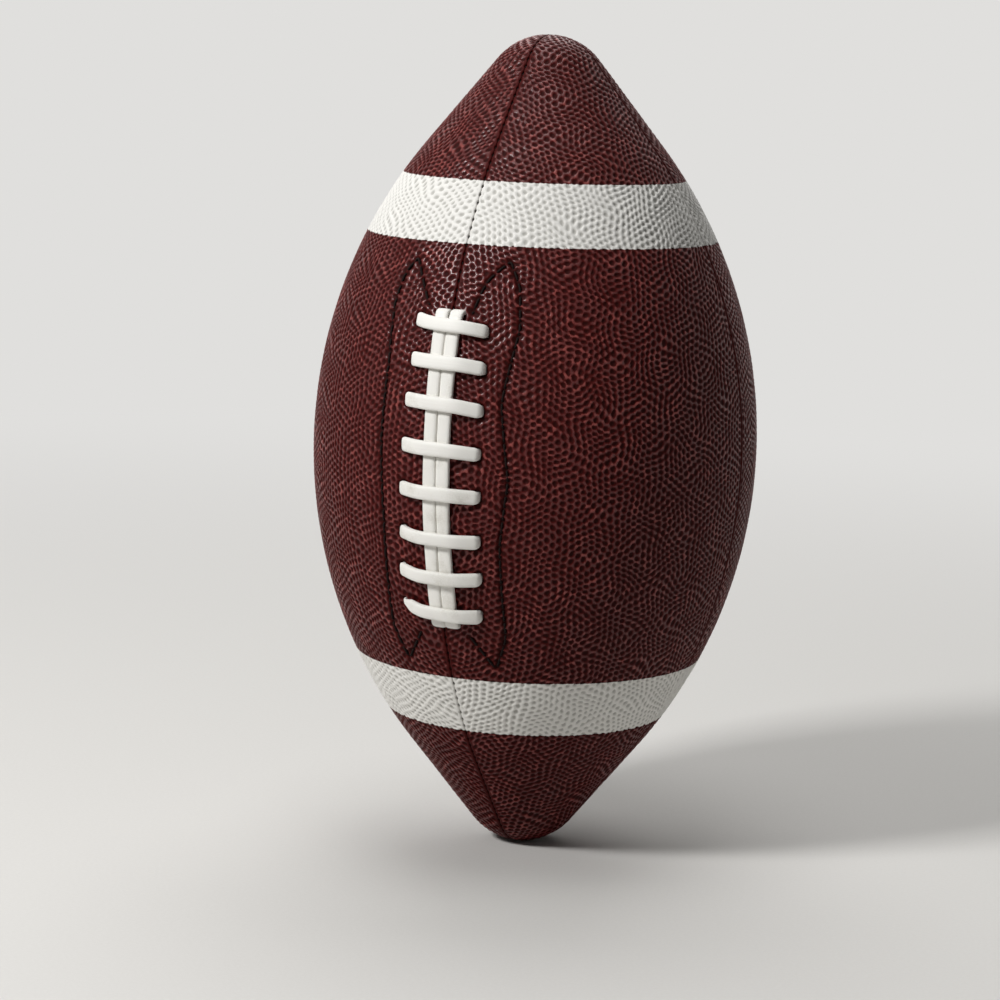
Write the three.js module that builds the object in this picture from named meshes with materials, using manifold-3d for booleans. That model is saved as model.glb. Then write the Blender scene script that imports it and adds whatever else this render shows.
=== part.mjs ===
// A junior american football: pebbled cover panels sewn over linings and a bladder, with one flat lace
// drawn through the front seam. Millimetres. +Z runs up the ball's long axis, the lacing faces -Y,
// and the origin is the tip of the lower nose, where the ball stands in a tray or a tee.
import * as THREE from "three";
import { mergeVertices } from "three/addons/utils/BufferGeometryUtils.js";
import Module from "manifold-3d";

const wasm = await Module();
wasm.setup();

// Outline of the ball
const LENGTH = 272; // from tip to tip
const DIAMETER = 148; // at the waist
const NOSE_RADIUS = 21.5; // rounding of each tip
const NOSE_SLOPE = 38.7; // degrees between a nose's straight side and the long axis

// Layers of the wall, from the outside in
const COVER_THICKNESS = 1.9;
const LINING_THICKNESS = 0.8;
const FACING_THICKNESS = 1.2; // the stiffener that the lace is drawn through
const TONGUE_THICKNESS = 1.2; // the pad between the lace and the bladder
const BLADDER_WALL = 0.9;
const CLEARANCE = 0.3; // between neighbouring pieces

// Seams
const SEAM_GAP = 0.4; // between the edges of two panels
const THREAD_DIAMETER = 0.8;
const CREASE_FLARE = 0.9; // how far each side of a seam's crease leans back
const THREAD_SIDES = 5;

// Lacing
const LACE_WIDTH = 4.9;
const LACE_THICKNESS = 1.7;
const LACE_CHAMFER = 0.8; // bevel of the lace's edges
const LACE_CROSSINGS = 8;
const LACE_PITCH = 13.3; // from one crossing to the next
const LACE_REACH = 13.2; // from the front seam to the middle of a lace hole
const LACE_BEND = 1.5; // radius at which the lace turns into a hole
const LACE_SWAY = 5; // radius of the lace's turns under the cover
const LACE_GAP = 0.55; // between two runs of the lace
const LACE_TAIL = 10; // tucked in at each end of the lace
const STRIP_OVERRUN = 5.6; // from the last crossing to the hole at the end of a strip
const LACE_STEP = 9; // longest straight stretch of the lace

// Lace facings and their stitching
const FACING_WIDTH = 21.5; // from the front seam to the facing's side edge
const FACING_MARGIN = 1.6; // beyond the holes at the ends of the strips
const EAR_HEIGHT = 11; // of the point at each end of a facing
const EAR_ACROSS = 15.8; // from the front seam to that point
const EAR_ROOT = 7.6; // from the front seam to where the point rises
const EAR_RADIUS = 2; // rounding of the point
const SHOULDER_RADIUS = 12;
const STITCH_INSET = 1; // from a facing's edge to its row of stitches
const STITCH_STEP = 12; // longest straight stretch of a row of stitches
const TONGUE_MARGIN = 1.2; // beyond the facings' points
const TONGUE_CORNER = 8;

// Valve, on the waist in the middle of a back panel
const VALVE_DIRECTION = 45; // degrees from +X towards +Y
const PLUG_HEAD_DIAMETER = 6.6;
const PLUG_STEM_DIAMETER = 4;
const PLUG_STEM_LENGTH = 7;
const PLUG_RECESS = 0.3; // of its face below the cover
const BOOT_DIAMETER = 9;
const BOOT_LENGTH = 10;
const BOOT_FLANGE_DIAMETER = 20;
const BOOT_FLANGE_THICKNESS = 1.2;
const VALVE_SIDES = 16;

// Fineness of the faceted surfaces
const BELLY_STEPS = 10; // along the round stretch of the outline
const NOSE_STEPS = 3; // round one tip
const COVER_STEPS = 10; // round a quarter of the ball
const INNER_STEPS = 5; // the same, for the layers under the cover
const CORNER_STEPS = 3; // round a corner of the tongue
const BEND_STEP = 45; // degrees

const { cos, sin, asin, tan, acos, ceil, PI } = Math;
const { degToRad, lerp } = THREE.MathUtils;

// The outline is an arc at the waist, a straight cone tangent to it and a round nose tangent to the cone.
const slope = degToRad(NOSE_SLOPE);
const noseCentre = LENGTH / 2 - NOSE_RADIUS;
const coneDistance = noseCentre * sin(slope) + NOSE_RADIUS;
const bellyRadius = (coneDistance - (DIAMETER / 2) * cos(slope)) / (1 - cos(slope));
const bellyCentre = DIAMETER / 2 - bellyRadius;

// A flat facet lies up to this far below the round surface that it stands for.
const facetSag =
  (DIAMETER / 2) * (1 - cos(PI / 4 / INNER_STEPS)) + bellyRadius * (1 - cos(slope / BELLY_STEPS));

// Depths of the layers below the ball's surface
const liningDepth = COVER_THICKNESS + CLEARANCE;
const facingDepth = liningDepth + LINING_THICKNESS + CLEARANCE;
const laceDepth = facingDepth + FACING_THICKNESS + CLEARANCE + facetSag;
const tongueDepth = laceDepth + LACE_THICKNESS + CLEARANCE;
const pocketDepth = tongueDepth + TONGUE_THICKNESS + CLEARANCE;
const bladderDepth = liningDepth + LINING_THICKNESS + CLEARANCE;

// Heights of the lace's middle over the ball's surface
const onCover = CLEARANCE + LACE_THICKNESS / 2;
const overStrips = onCover + LACE_THICKNESS + LACE_GAP;
const underCover = -(laceDepth + LACE_THICKNESS / 2);

// Places along the lacing
const stripAcross = (LACE_WIDTH + LACE_GAP) / 2;
const stripEdge = stripAcross + LACE_WIDTH / 2;
const lastCrossing = ((LACE_CROSSINGS - 1) / 2) * LACE_PITCH;
const stripEnd = lastCrossing + STRIP_OVERRUN;
const facingEnd = stripEnd + LACE_THICKNESS / 2 + FACING_MARGIN;
const earTop = facingEnd + EAR_HEIGHT;
const tongueEnd = earTop + TONGUE_MARGIN;

function steps(from, to, count) {
  return Array.from({ length: count + 1 }, (_, i) => lerp(from, to, i / count));
}

// Solids

function toSolid(geometry) {
  const bare = new THREE.BufferGeometry().setAttribute("position", geometry.attributes.position);
  const merged = mergeVertices(bare.setIndex(geometry.index));
  const corners = merged.index.array;
  const kept = [];
  for (let i = 0; i < corners.length; i += 3) {
    const [a, b, c] = corners.slice(i, i + 3);
    if (a !== b && b !== c && c !== a) kept.push(a, b, c);
  }
  const vertProperties = merged.attributes.position.array;
  return new wasm.Manifold(new wasm.Mesh({ numProp: 3, vertProperties, triVerts: new Uint32Array(kept) }));
}

function toGeometry(solid) {
  const { vertProperties, triVerts } = solid.getMesh();
  const geometry = new THREE.BufferGeometry();
  geometry.setAttribute("position", new THREE.BufferAttribute(vertProperties, 3));
  geometry.setIndex(new THREE.BufferAttribute(triVerts, 1));
  const faceted = geometry.toNonIndexed();
  faceted.computeVertexNormals();
  return faceted;
}

// Rings of points joined into one closed body.
// A loop joins its last ring to its first, and otherwise both ends are capped.
function loft(rings, loop = false) {
  const sides = rings[0].length;
  const index = [];
  const last = rings.length - 1;
  for (let i = 0; i < (loop ? rings.length : last); i++) {
    const here = i * sides;
    const next = ((i + 1) % rings.length) * sides;
    for (let k = 0; k < sides; k++) {
      const turn = (k + 1) % sides;
      index.push(here + k, here + turn, next + turn, here + k, next + turn, next + k);
    }
  }
  for (let k = 1; k < sides - 1 && !loop; k++) {
    index.push(0, k + 1, k);
    index.push(last * sides, last * sides + k, last * sides + k + 1);
  }
  return new THREE.BufferGeometry().setFromPoints(rings.flat()).setIndex(index);
}

// A section, given as points (along the hint, across it), carried along stops.
// Each stop has a position and a hint, the direction that the section's first axis leans to.
function sweep(stops, section, loop = false) {
  const count = stops.length;
  const rings = stops.map(({ position, hint }, i) => {
    const before = stops[loop ? (i + count - 1) % count : Math.max(i - 1, 0)].position;
    const after = stops[loop ? (i + 1) % count : Math.min(i + 1, count - 1)].position;
    const along = after.clone().sub(before).normalize();
    const wide = hint.clone().addScaledVector(along, -hint.dot(along)).normalize();
    const thick = along.clone().cross(wide);
    return section.map(([w, t]) => position.clone().addScaledVector(wide, w).addScaledVector(thick, t));
  });
  return loft(rings, loop);
}

// A route through corners, each turned on its own radius, with no straight stretch longer than step.
// Corners are vectors of plain numbers: across, along and height.
function roundRoute(corners, step) {
  const route = [{ at: corners[0].at, leg: 0, turned: 0 }];
  const runTo = (at, leg) => {
    const from = route.at(-1).at;
    const count = Math.max(1, ceil(from.distanceTo(at) / step));
    for (let i = 1; i <= count; i++) route.push({ at: from.clone().lerp(at, i / count), leg, turned: 0 });
  };
  for (let i = 1; i < corners.length - 1; i++) {
    const { at, radius } = corners[i];
    const incoming = at.clone().sub(corners[i - 1].at).normalize();
    const outgoing = corners[i + 1].at.clone().sub(at).normalize();
    const angle = acos(incoming.dot(outgoing));
    const start = at.clone().addScaledVector(incoming, -radius * tan(angle / 2));
    const inward = outgoing.clone().addScaledVector(incoming, -cos(angle)).normalize();
    runTo(start, i - 1);
    const count = ceil(angle / degToRad(BEND_STEP));
    for (let k = 1; k <= count; k++) {
      const turn = (angle * k) / count;
      const point = start.clone().addScaledVector(incoming, radius * sin(turn));
      point.addScaledVector(inward, radius * (1 - cos(turn)));
      route.push({ at: point, leg: i - 1, turned: k / count });
    }
  }
  runTo(corners.at(-1).at, corners.length - 2);
  return route;
}

// The ball's own surfaces

// Half of the outline at a depth below the surface, from the lower tip to the upper one,
// as points (radius, height over the waist).
function outline(depth) {
  const belly = steps(0, slope, BELLY_STEPS / 2).map(
    (a) => new THREE.Vector2(bellyCentre + (bellyRadius - depth) * cos(a), (bellyRadius - depth) * sin(a)),
  );
  const nose = steps(slope, PI / 2, NOSE_STEPS).map(
    (a) => new THREE.Vector2((NOSE_RADIUS - depth) * cos(a), noseCentre + (NOSE_RADIUS - depth) * sin(a)),
  );
  const upper = [...belly, ...nose];
  const lower = upper.slice(1).map((p) => new THREE.Vector2(p.x, -p.y));
  return [...lower.reverse(), ...upper];
}

function ball(depth, quarterSteps) {
  return toSolid(new THREE.LatheGeometry(outline(depth), 4 * quarterSteps).rotateX(PI / 2));
}

function shell(depth, thickness, quarterSteps) {
  return ball(depth, quarterSteps).subtract(ball(depth + thickness, quarterSteps));
}

// The quarter of space between two seams, short of each by half the seam's gap.
function quarter(xSide, ySide) {
  const middle = (SEAM_GAP + DIAMETER) / 2;
  const box = new THREE.BoxGeometry(DIAMETER, DIAMETER, LENGTH + DIAMETER);
  return toSolid(box.translate(xSide * middle, ySide * middle, 0));
}

// Where the outline lies at a height over the waist: its radius, and how far its normal leans upwards.
function outlineAt(height) {
  const belly = Math.min(Math.abs(height), bellyRadius * sin(slope));
  const lean = asin(belly / bellyRadius);
  const cone = Math.abs(height) - belly;
  const radius = bellyCentre + bellyRadius * cos(lean) - cone * tan(slope);
  return { radius, lean: Math.sign(height) * lean };
}

// A spot near the lacing: across is the arc from the front seam, along the height over the waist.
function spot({ x: across, y: along, z: height }) {
  const { radius, lean } = outlineAt(along);
  const turn = across / radius;
  const outward = new THREE.Vector3(sin(turn) * cos(lean), -cos(turn) * cos(lean), sin(lean));
  const sideways = new THREE.Vector3(cos(turn), sin(turn), 0);
  const upward = outward.clone().cross(sideways);
  const position = new THREE.Vector3(radius * sin(turn), -radius * cos(turn), along);
  return { position: position.addScaledVector(outward, height), outward, sideways, upward };
}

// A flat outline, seen from the front, pushed back through the front half of the ball.
function frontPrism(shape) {
  const prism = new THREE.ExtrudeGeometry(shape, { depth: DIAMETER, bevelEnabled: false });
  return toSolid(prism.rotateX(PI / 2));
}

// Seams

const threadSection = steps(0, 2 * PI, THREAD_SIDES)
  .slice(1)
  .map((a) => [(THREAD_DIAMETER / 2) * cos(a), (THREAD_DIAMETER / 2) * sin(a)]);
const threadRoom = THREAD_DIAMETER / 2 + CLEARANCE;

// A crease all round the ball in an upright plane, with room for the stitching in its floor.
function seamCrease(turn) {
  const half = outline(THREAD_DIAMETER / 2);
  const mirrored = half.slice(1, -1).map((p) => new THREE.Vector2(-p.x, p.y));
  const stops = [...half, ...mirrored.reverse()].map((p) => ({
    position: new THREE.Vector3(p.x, 0, p.y),
    hint: new THREE.Vector3(0, 1, 0),
  }));
  const rim = threadRoom + CREASE_FLARE;
  const section = [
    [-threadRoom, -threadRoom],
    [threadRoom, -threadRoom],
    [rim, threadRoom],
    [-rim, threadRoom],
  ];
  return toSolid(sweep(stops, section, true).rotateZ(turn));
}

// The stitching of one seam on the meridian turned from +X, short of both tips.
// With a start, it runs from that height over the waist to the upper tip only.
function seamThread(turn, start) {
  const depth = THREAD_DIAMETER / 2;
  let points = outline(depth).slice(1, -1);
  if (start !== undefined) {
    const { radius, lean } = outlineAt(start);
    const first = new THREE.Vector2(radius - depth * cos(lean), start - depth * sin(lean));
    points = [first, ...points.filter((p) => p.y > start)];
  }
  const stops = points.map((p) => ({
    position: new THREE.Vector3(p.x, 0, p.y),
    hint: new THREE.Vector3(0, 1, 0),
  }));
  return sweep(stops, threadSection).rotateZ(turn);
}

// Lacing

function corner(across, along, height, radius, flat) {
  return { at: new THREE.Vector3(across, along, height), radius, flat };
}

// The lace's whole route: tail, left strip, crossings from the lowest up, right strip, tail.
// flat is how far the lace's width is turned from sideways, for a strip, to upward, for a crossing.
function laceCorners() {
  const strip = 0;
  const crossing = PI / 2;
  const corners = [
    corner(-stripAcross, stripEnd + LACE_TAIL, underCover, 0, strip),
    corner(-stripAcross, stripEnd, underCover, LACE_BEND, strip),
    corner(-stripAcross, stripEnd, onCover, LACE_BEND, strip),
    corner(-stripAcross, -stripEnd, onCover, LACE_BEND, strip),
    corner(-stripAcross, -stripEnd, underCover, LACE_BEND, strip),
    corner(-stripAcross, -lastCrossing, underCover, STRIP_OVERRUN / 2, crossing),
  ];
  for (let i = 0; i < LACE_CROSSINGS; i++) {
    const along = i * LACE_PITCH - lastCrossing;
    const lead = LACE_REACH - 2 * LACE_BEND - CLEARANCE;
    const crest = stripEdge + LACE_BEND;
    if (i > 0) corners.push(corner(-lead, along, underCover, LACE_SWAY, crossing));
    corners.push(
      corner(-LACE_REACH, along, underCover, LACE_BEND, crossing),
      corner(-LACE_REACH, along, onCover, LACE_BEND, crossing),
      corner(-crest, along, overStrips, LACE_SWAY, crossing),
      corner(crest, along, overStrips, LACE_SWAY, crossing),
      corner(LACE_REACH, along, onCover, LACE_BEND, crossing),
      corner(LACE_REACH, along, underCover, LACE_BEND, crossing),
    );
    if (i < LACE_CROSSINGS - 1) corners.push(corner(lead, along, underCover, LACE_SWAY, crossing));
  }
  corners.push(
    corner(stripAcross, lastCrossing, underCover, STRIP_OVERRUN / 2, strip),
    corner(stripAcross, stripEnd, underCover, LACE_BEND, strip),
    corner(stripAcross, stripEnd, onCover, LACE_BEND, strip),
    corner(stripAcross, -stripEnd, onCover, LACE_BEND, strip),
    corner(stripAcross, -stripEnd, underCover, LACE_BEND, strip),
    corner(stripAcross, -stripEnd - LACE_TAIL, underCover, 0, strip),
  );
  return corners;
}

const laceSection = [
  [LACE_WIDTH / 2, 0],
  [LACE_WIDTH / 2 - LACE_CHAMFER, LACE_THICKNESS / 2],
  [LACE_CHAMFER - LACE_WIDTH / 2, LACE_THICKNESS / 2],
  [-LACE_WIDTH / 2, 0],
  [LACE_CHAMFER - LACE_WIDTH / 2, -LACE_THICKNESS / 2],
  [LACE_WIDTH / 2 - LACE_CHAMFER, -LACE_THICKNESS / 2],
];

// The direction of the lace's width at a spot, turned by flat from sideways to upward.
function laceHint({ sideways, upward }, flat) {
  return sideways.clone().multiplyScalar(cos(flat)).addScaledVector(upward, sin(flat));
}

function makeLace() {
  const corners = laceCorners();
  const stops = roundRoute(corners, LACE_STEP).map(({ at, leg, turned }) => {
    const place = spot(at);
    const flat = lerp(corners[leg].flat, corners[leg + 1].flat, turned);
    return { position: place.position, hint: laceHint(place, flat) };
  });
  return toSolid(sweep(stops, laceSection));
}

// A slot for the lace, square through the wall of the ball.
function laceHole(across, along, flat) {
  const width = LACE_WIDTH / 2 + CLEARANCE;
  const height = LACE_THICKNESS / 2 + CLEARANCE;
  const section = [
    [width, -height],
    [width, height],
    [-width, height],
    [-width, -height],
  ];
  const stops = [overStrips, underCover].map((level) => {
    const place = spot(new THREE.Vector3(across, along, level));
    return { position: place.position, hint: laceHint(place, flat) };
  });
  return toSolid(sweep(stops, section));
}

function laceHoles(side) {
  const holes = [-stripEnd, stripEnd].map((along) => laceHole(side * stripAcross, along, 0));
  for (let i = 0; i < LACE_CROSSINGS; i++) {
    holes.push(laceHole(side * LACE_REACH, i * LACE_PITCH - lastCrossing, PI / 2));
  }
  return holes;
}

// The facing's side edge with its two pointed ears, as corners on the right-hand lace panel.
function facingEdge(inset) {
  const side = FACING_WIDTH - inset;
  const top = earTop - inset;
  const root = EAR_ROOT + inset;
  return roundRoute(
    [
      corner(root, -facingEnd, 0, 0),
      corner(EAR_ACROSS, -top, 0, EAR_RADIUS),
      corner(side, -facingEnd, 0, SHOULDER_RADIUS),
      corner(side, facingEnd, 0, SHOULDER_RADIUS),
      corner(EAR_ACROSS, top, 0, EAR_RADIUS),
      corner(root, facingEnd, 0, 0),
    ],
    STITCH_STEP,
  );
}

function makeFacing(side) {
  const edge = facingEdge(0).map(({ at }) => new THREE.Vector2(side * at.x, at.y));
  const seamEdge = (side * SEAM_GAP) / 2;
  const shape = new THREE.Shape([
    new THREE.Vector2(seamEdge, -facingEnd),
    ...edge,
    new THREE.Vector2(seamEdge, facingEnd),
  ]);
  const layer = shell(facingDepth, FACING_THICKNESS, INNER_STEPS);
  return cut(layer.intersect(frontPrism(shape)), laceHoles(side));
}

// Stops along a facing's row of stitches, sunk into the cover by half a thread.
function facingStitches(side) {
  return facingEdge(STITCH_INSET).map(({ at }) => {
    const place = spot(new THREE.Vector3(side * at.x, at.y, -THREAD_DIAMETER / 2));
    return { position: place.position, hint: place.outward };
  });
}

function stitchGroove(side) {
  const section = [
    [-threadRoom, -threadRoom],
    [COVER_THICKNESS, -threadRoom],
    [COVER_THICKNESS, threadRoom],
    [-threadRoom, threadRoom],
  ];
  return toSolid(sweep(facingStitches(side), section));
}

function makeFacingThread(side) {
  return toSolid(sweep(facingStitches(side), threadSection));
}

function tongueShape(grow) {
  const width = FACING_WIDTH + grow;
  const height = tongueEnd + grow;
  const radius = TONGUE_CORNER + grow;
  const shape = new THREE.Shape();
  shape.absarc(width - radius, height - radius, radius, 0, PI / 2);
  shape.absarc(radius - width, height - radius, radius, PI / 2, PI);
  shape.absarc(radius - width, radius - height, radius, PI, 1.5 * PI);
  shape.absarc(width - radius, radius - height, radius, 1.5 * PI, 2 * PI);
  return new THREE.Shape(shape.getPoints(CORNER_STEPS));
}

function makeTongue() {
  return shell(tongueDepth, TONGUE_THICKNESS, INNER_STEPS).intersect(frontPrism(tongueShape(0)));
}

// Bladder and valve

function alongValve(geometry) {
  return geometry.rotateY(PI / 2).rotateZ(degToRad(VALVE_DIRECTION));
}

// A round tool about the valve's axis, from the ball's middle outwards.
function valveCylinder(diameter) {
  const cylinder = new THREE.CylinderGeometry(diameter / 2, diameter / 2, DIAMETER, VALVE_SIDES);
  return toSolid(alongValve(cylinder.rotateX(PI / 2).translate(0, 0, DIAMETER / 2)));
}

const bootTop = DIAMETER / 2 - liningDepth;
const plugFace = DIAMETER / 2 - PLUG_RECESS;
const plugSeat = bootTop + CLEARANCE;
const bootHole = BOOT_DIAMETER + 2 * CLEARANCE;
const plugHole = PLUG_HEAD_DIAMETER + 2 * CLEARANCE;

// The bladder's surface or, sunk by its wall, its inside: the ball with a pocket pressed in by the tongue.
function bladderForm(sink) {
  const pocket = frontPrism(tongueShape(CLEARANCE + sink)).subtract(ball(pocketDepth + sink, INNER_STEPS));
  return ball(bladderDepth + sink, INNER_STEPS).subtract(pocket);
}

function makeBladder() {
  return bladderForm(0).subtract(bladderForm(BLADDER_WALL)).subtract(valveCylinder(bootHole));
}

function ringProfile(inner, outer, low, high) {
  return [
    new THREE.Vector2(inner, low),
    new THREE.Vector2(outer, low),
    new THREE.Vector2(outer, high),
    new THREE.Vector2(inner, high),
    new THREE.Vector2(inner, low),
  ];
}

function makeValveBoot() {
  const bore = PLUG_STEM_DIAMETER / 2 + CLEARANCE;
  const profile = ringProfile(bore, BOOT_DIAMETER / 2, bootTop - BOOT_LENGTH, bootTop);
  const pipe = toSolid(alongValve(new THREE.LatheGeometry(profile, VALVE_SIDES).rotateX(PI / 2)));
  const neck = pipe.intersect(ball(liningDepth, COVER_STEPS));
  const flange = shell(bladderDepth + BLADDER_WALL + CLEARANCE, BOOT_FLANGE_THICKNESS, INNER_STEPS)
    .intersect(valveCylinder(BOOT_FLANGE_DIAMETER))
    .subtract(valveCylinder(2 * bore));
  return neck.add(flange);
}

function plugGeometry() {
  const head = PLUG_HEAD_DIAMETER / 2;
  const stem = PLUG_STEM_DIAMETER / 2;
  const underHead = plugSeat - plugFace;
  const profile = [
    new THREE.Vector2(0, underHead - PLUG_STEM_LENGTH),
    new THREE.Vector2(stem, underHead - PLUG_STEM_LENGTH),
    new THREE.Vector2(stem, underHead),
    new THREE.Vector2(head, underHead),
    new THREE.Vector2(head, 0),
    new THREE.Vector2(0, 0),
  ];
  return toGeometry(toSolid(alongValve(new THREE.LatheGeometry(profile, VALVE_SIDES).rotateX(PI / 2))));
}

// Panels

function cut(solid, tools) {
  return tools.reduce((left, tool) => left.subtract(tool), solid);
}

const creases = [seamCrease(0), seamCrease(PI / 2)];

function makePanel(xSide, ySide, tools) {
  const layer = shell(0, COVER_THICKNESS, COVER_STEPS);
  return cut(layer.intersect(quarter(xSide, ySide)), [...creases, ...tools]);
}

function makeLining(xSide, ySide, tools) {
  const layer = shell(liningDepth, LINING_THICKNESS, INNER_STEPS);
  return cut(layer.intersect(quarter(xSide, ySide)), tools);
}

// Assembly

const finishes = {
  cover: new THREE.MeshStandardMaterial({ color: "#5e2420", roughness: 0.55, metalness: 0 }),
  lining: new THREE.MeshStandardMaterial({ color: "#c9c2b2", roughness: 0.9, metalness: 0 }),
  facing: new THREE.MeshStandardMaterial({ color: "#3a2320", roughness: 0.8, metalness: 0 }),
  thread: new THREE.MeshStandardMaterial({ color: "#1c1312", roughness: 0.7, metalness: 0 }),
  lace: new THREE.MeshStandardMaterial({ color: "#eceae4", roughness: 0.5, metalness: 0 }),
  rubber: new THREE.MeshStandardMaterial({ color: "#191919", roughness: 0.6, metalness: 0 }),
};

const football = new THREE.Group();
const aboutWaist = new THREE.Group();
aboutWaist.position.z = LENGTH / 2;
football.add(aboutWaist);

function addPiece(name, geometry, finish) {
  const mesh = new THREE.Mesh(geometry, finish);
  mesh.name = name;
  aboutWaist.add(mesh);
  return mesh;
}

function addSolid(name, solid, finish) {
  addPiece(name, toGeometry(solid), finish);
}

addSolid("bladder", makeBladder(), finishes.rubber);
addSolid("valve_boot", makeValveBoot(), finishes.rubber);
const plug = addPiece("valve_plug", plugGeometry(), finishes.rubber);
plug.position.set(plugFace, 0, 0).applyAxisAngle(new THREE.Vector3(0, 0, 1), degToRad(VALVE_DIRECTION));
addSolid("lace_tongue", makeTongue(), finishes.facing);
addSolid("lace", makeLace(), finishes.lace);

// The valve is on the right-hand back panel.
const backTools = {
  left: { panel: [], lining: [] },
  right: { panel: [valveCylinder(plugHole)], lining: [valveCylinder(bootHole)] },
};
for (const [name, side] of [["left", -1], ["right", 1]]) {
  const holes = laceHoles(side);
  addSolid(`panel_lace_${name}`, makePanel(side, -1, [...holes, stitchGroove(side)]), finishes.cover);
  addSolid(`panel_back_${name}`, makePanel(side, 1, backTools[name].panel), finishes.cover);
  addSolid(`lining_lace_${name}`, makeLining(side, -1, holes), finishes.lining);
  addSolid(`lining_back_${name}`, makeLining(side, 1, backTools[name].lining), finishes.lining);
  addSolid(`lace_facing_${name}`, makeFacing(side), finishes.facing);
  addSolid(`facing_thread_${name}`, makeFacingThread(side), finishes.thread);
}

const seamThreads = {
  left: seamThread(PI),
  right: seamThread(0),
  back: seamThread(PI / 2),
  front_upper: seamThread(-PI / 2, facingEnd),
  front_lower: seamThread(-PI / 2, facingEnd).rotateY(PI),
};
for (const [name, thread] of Object.entries(seamThreads)) {
  addSolid(`seam_thread_${name}`, toSolid(thread), finishes.thread);
}

export default football;
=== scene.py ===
"""Looks of a junior american football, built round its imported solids.

Sizes are in millimetres and every mesh is in metres. +Z runs up the ball's long axis from the tip of its
lower nose, and the lacing faces -Y. A place on the ball is given by its distance across from a meridian,
its arc along the meridian from the waist and its rise over the surface.
"""

from __future__ import annotations

import logging
from collections.abc import Callable
from dataclasses import dataclass
from enum import Enum
from functools import cached_property
from typing import Any

import bmesh
import bpy
import numpy as np
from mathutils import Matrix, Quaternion, Vector
from mathutils.geometry import delaunay_2d_cdt

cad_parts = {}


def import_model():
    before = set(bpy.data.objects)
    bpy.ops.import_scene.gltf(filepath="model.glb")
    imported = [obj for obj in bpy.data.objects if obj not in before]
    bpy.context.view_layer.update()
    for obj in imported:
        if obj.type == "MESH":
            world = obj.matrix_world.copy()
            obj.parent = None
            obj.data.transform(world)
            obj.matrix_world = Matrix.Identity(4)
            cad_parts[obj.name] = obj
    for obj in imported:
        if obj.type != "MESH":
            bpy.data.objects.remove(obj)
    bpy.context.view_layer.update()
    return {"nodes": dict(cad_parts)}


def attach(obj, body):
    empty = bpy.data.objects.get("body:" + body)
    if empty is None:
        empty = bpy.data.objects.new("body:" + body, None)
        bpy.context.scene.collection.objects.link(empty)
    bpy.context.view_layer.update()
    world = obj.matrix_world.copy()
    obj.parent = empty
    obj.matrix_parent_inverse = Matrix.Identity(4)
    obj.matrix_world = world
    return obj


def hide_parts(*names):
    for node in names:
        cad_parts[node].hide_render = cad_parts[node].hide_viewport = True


LOG = logging.getLogger("football")
MM = 0.001
BODY = "root"
# UV map laid out from each cover's flat pattern, and the one that the pattern of a thread or the lace
# follows
BAKE_MAP = "OFBake"
PATTERN_MAP = "UVMap"
# Direction of the front seam, in degrees from +X
FRONT = -90.0

Array = np.ndarray


class Side(Enum):
    """A side of the lacing, seen from the front."""

    LEFT = -1
    RIGHT = 1


def smooth_step(value: Array) -> Array:
    """Eases a number from 0 to 1 and stays level outside that range."""
    share = np.clip(value, 0.0, 1.0)
    return share * share * (3.0 - 2.0 * share)


def circle(sides: int, start: float = 0.0) -> Array:
    """Even points round a circle of radius 1, the first one turned by a share of their step."""
    turn = (np.arange(sides) + start) * 2 * np.pi / sides
    return np.stack([np.cos(turn), np.sin(turn)], -1)


def squared(values: Array, root: float) -> Array:
    """Moves numbers between -1 and 1 outwards, by raising their sizes to a power below 1."""
    return np.sign(values) * np.abs(values) ** root


def unit_rows(rows: Array) -> Array:
    """Scales each row to a length of 1."""
    return rows / np.linalg.norm(rows, axis=1, keepdims=True)


def run_along(points: Array) -> Array:
    """Distances along a line of points, from its first point to each of them."""
    return np.concatenate([[0.0], np.cumsum(np.linalg.norm(np.diff(points, axis=0), axis=1))])


def divide(start: Array, end: Array, step: float) -> Array:
    """Even points of a straight run, no further apart than a step, without its start."""
    count = int(np.linalg.norm(end - start) / step) + 1
    return start + (end - start) * np.linspace(0, 1, count + 1)[1:, None]


def grid_faces(rows: int, columns: int, ring: bool = False) -> Array:
    """Numbers the quads of a grid of points that is counted row by row.

    Args:
        rows: How many rows of points.
        columns: How many points in a row.
        ring: Whether each row closes on itself.

    Returns:
        The quads' corners, facing the side where a row runs right and the rows go up.
    """
    i, j = np.meshgrid(np.arange(rows - 1), np.arange(columns if ring else columns - 1), indexing="ij")
    beside = (j + 1) % columns
    corners = [i * columns + j, i * columns + beside, (i + 1) * columns + beside, (i + 1) * columns + j]
    return np.stack(corners, -1).reshape(-1, 4)


def fill_outline(loops: list[Array], inside: Array) -> Array:
    """Fills a flat outline with triangles and leaves its holes open.

    Args:
        loops: Points in order round the outline, then round each hole.
        inside: Points between them, clear of every hole.

    Returns:
        The triangles' corners, numbered through the loops and then the inside points.
    """
    starts = np.cumsum([0] + [len(loop) for loop in loops])
    rings = [start + np.arange(len(loop)) for start, loop in zip(starts, loops)]
    edges = np.concatenate([np.stack([ring, np.roll(ring, -1)], -1) for ring in rings])
    spots = [Vector(spot) for spot in np.concatenate([*loops, inside]).tolist()]
    inside_only, tolerance = 1, 1e-7
    _, _, faces, origins, *_ = delaunay_2d_cdt(spots, edges.tolist(), [], inside_only, tolerance)
    number = np.array([same[0] for same in origins])
    corners = number[np.array(faces)]
    loop = np.searchsorted(starts, corners, "right") - 1
    in_hole = (loop == loop[:, :1]).all(1) & (loop[:, 0] > 0) & (loop[:, 0] < len(loops))
    return corners[~in_hole]


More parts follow.
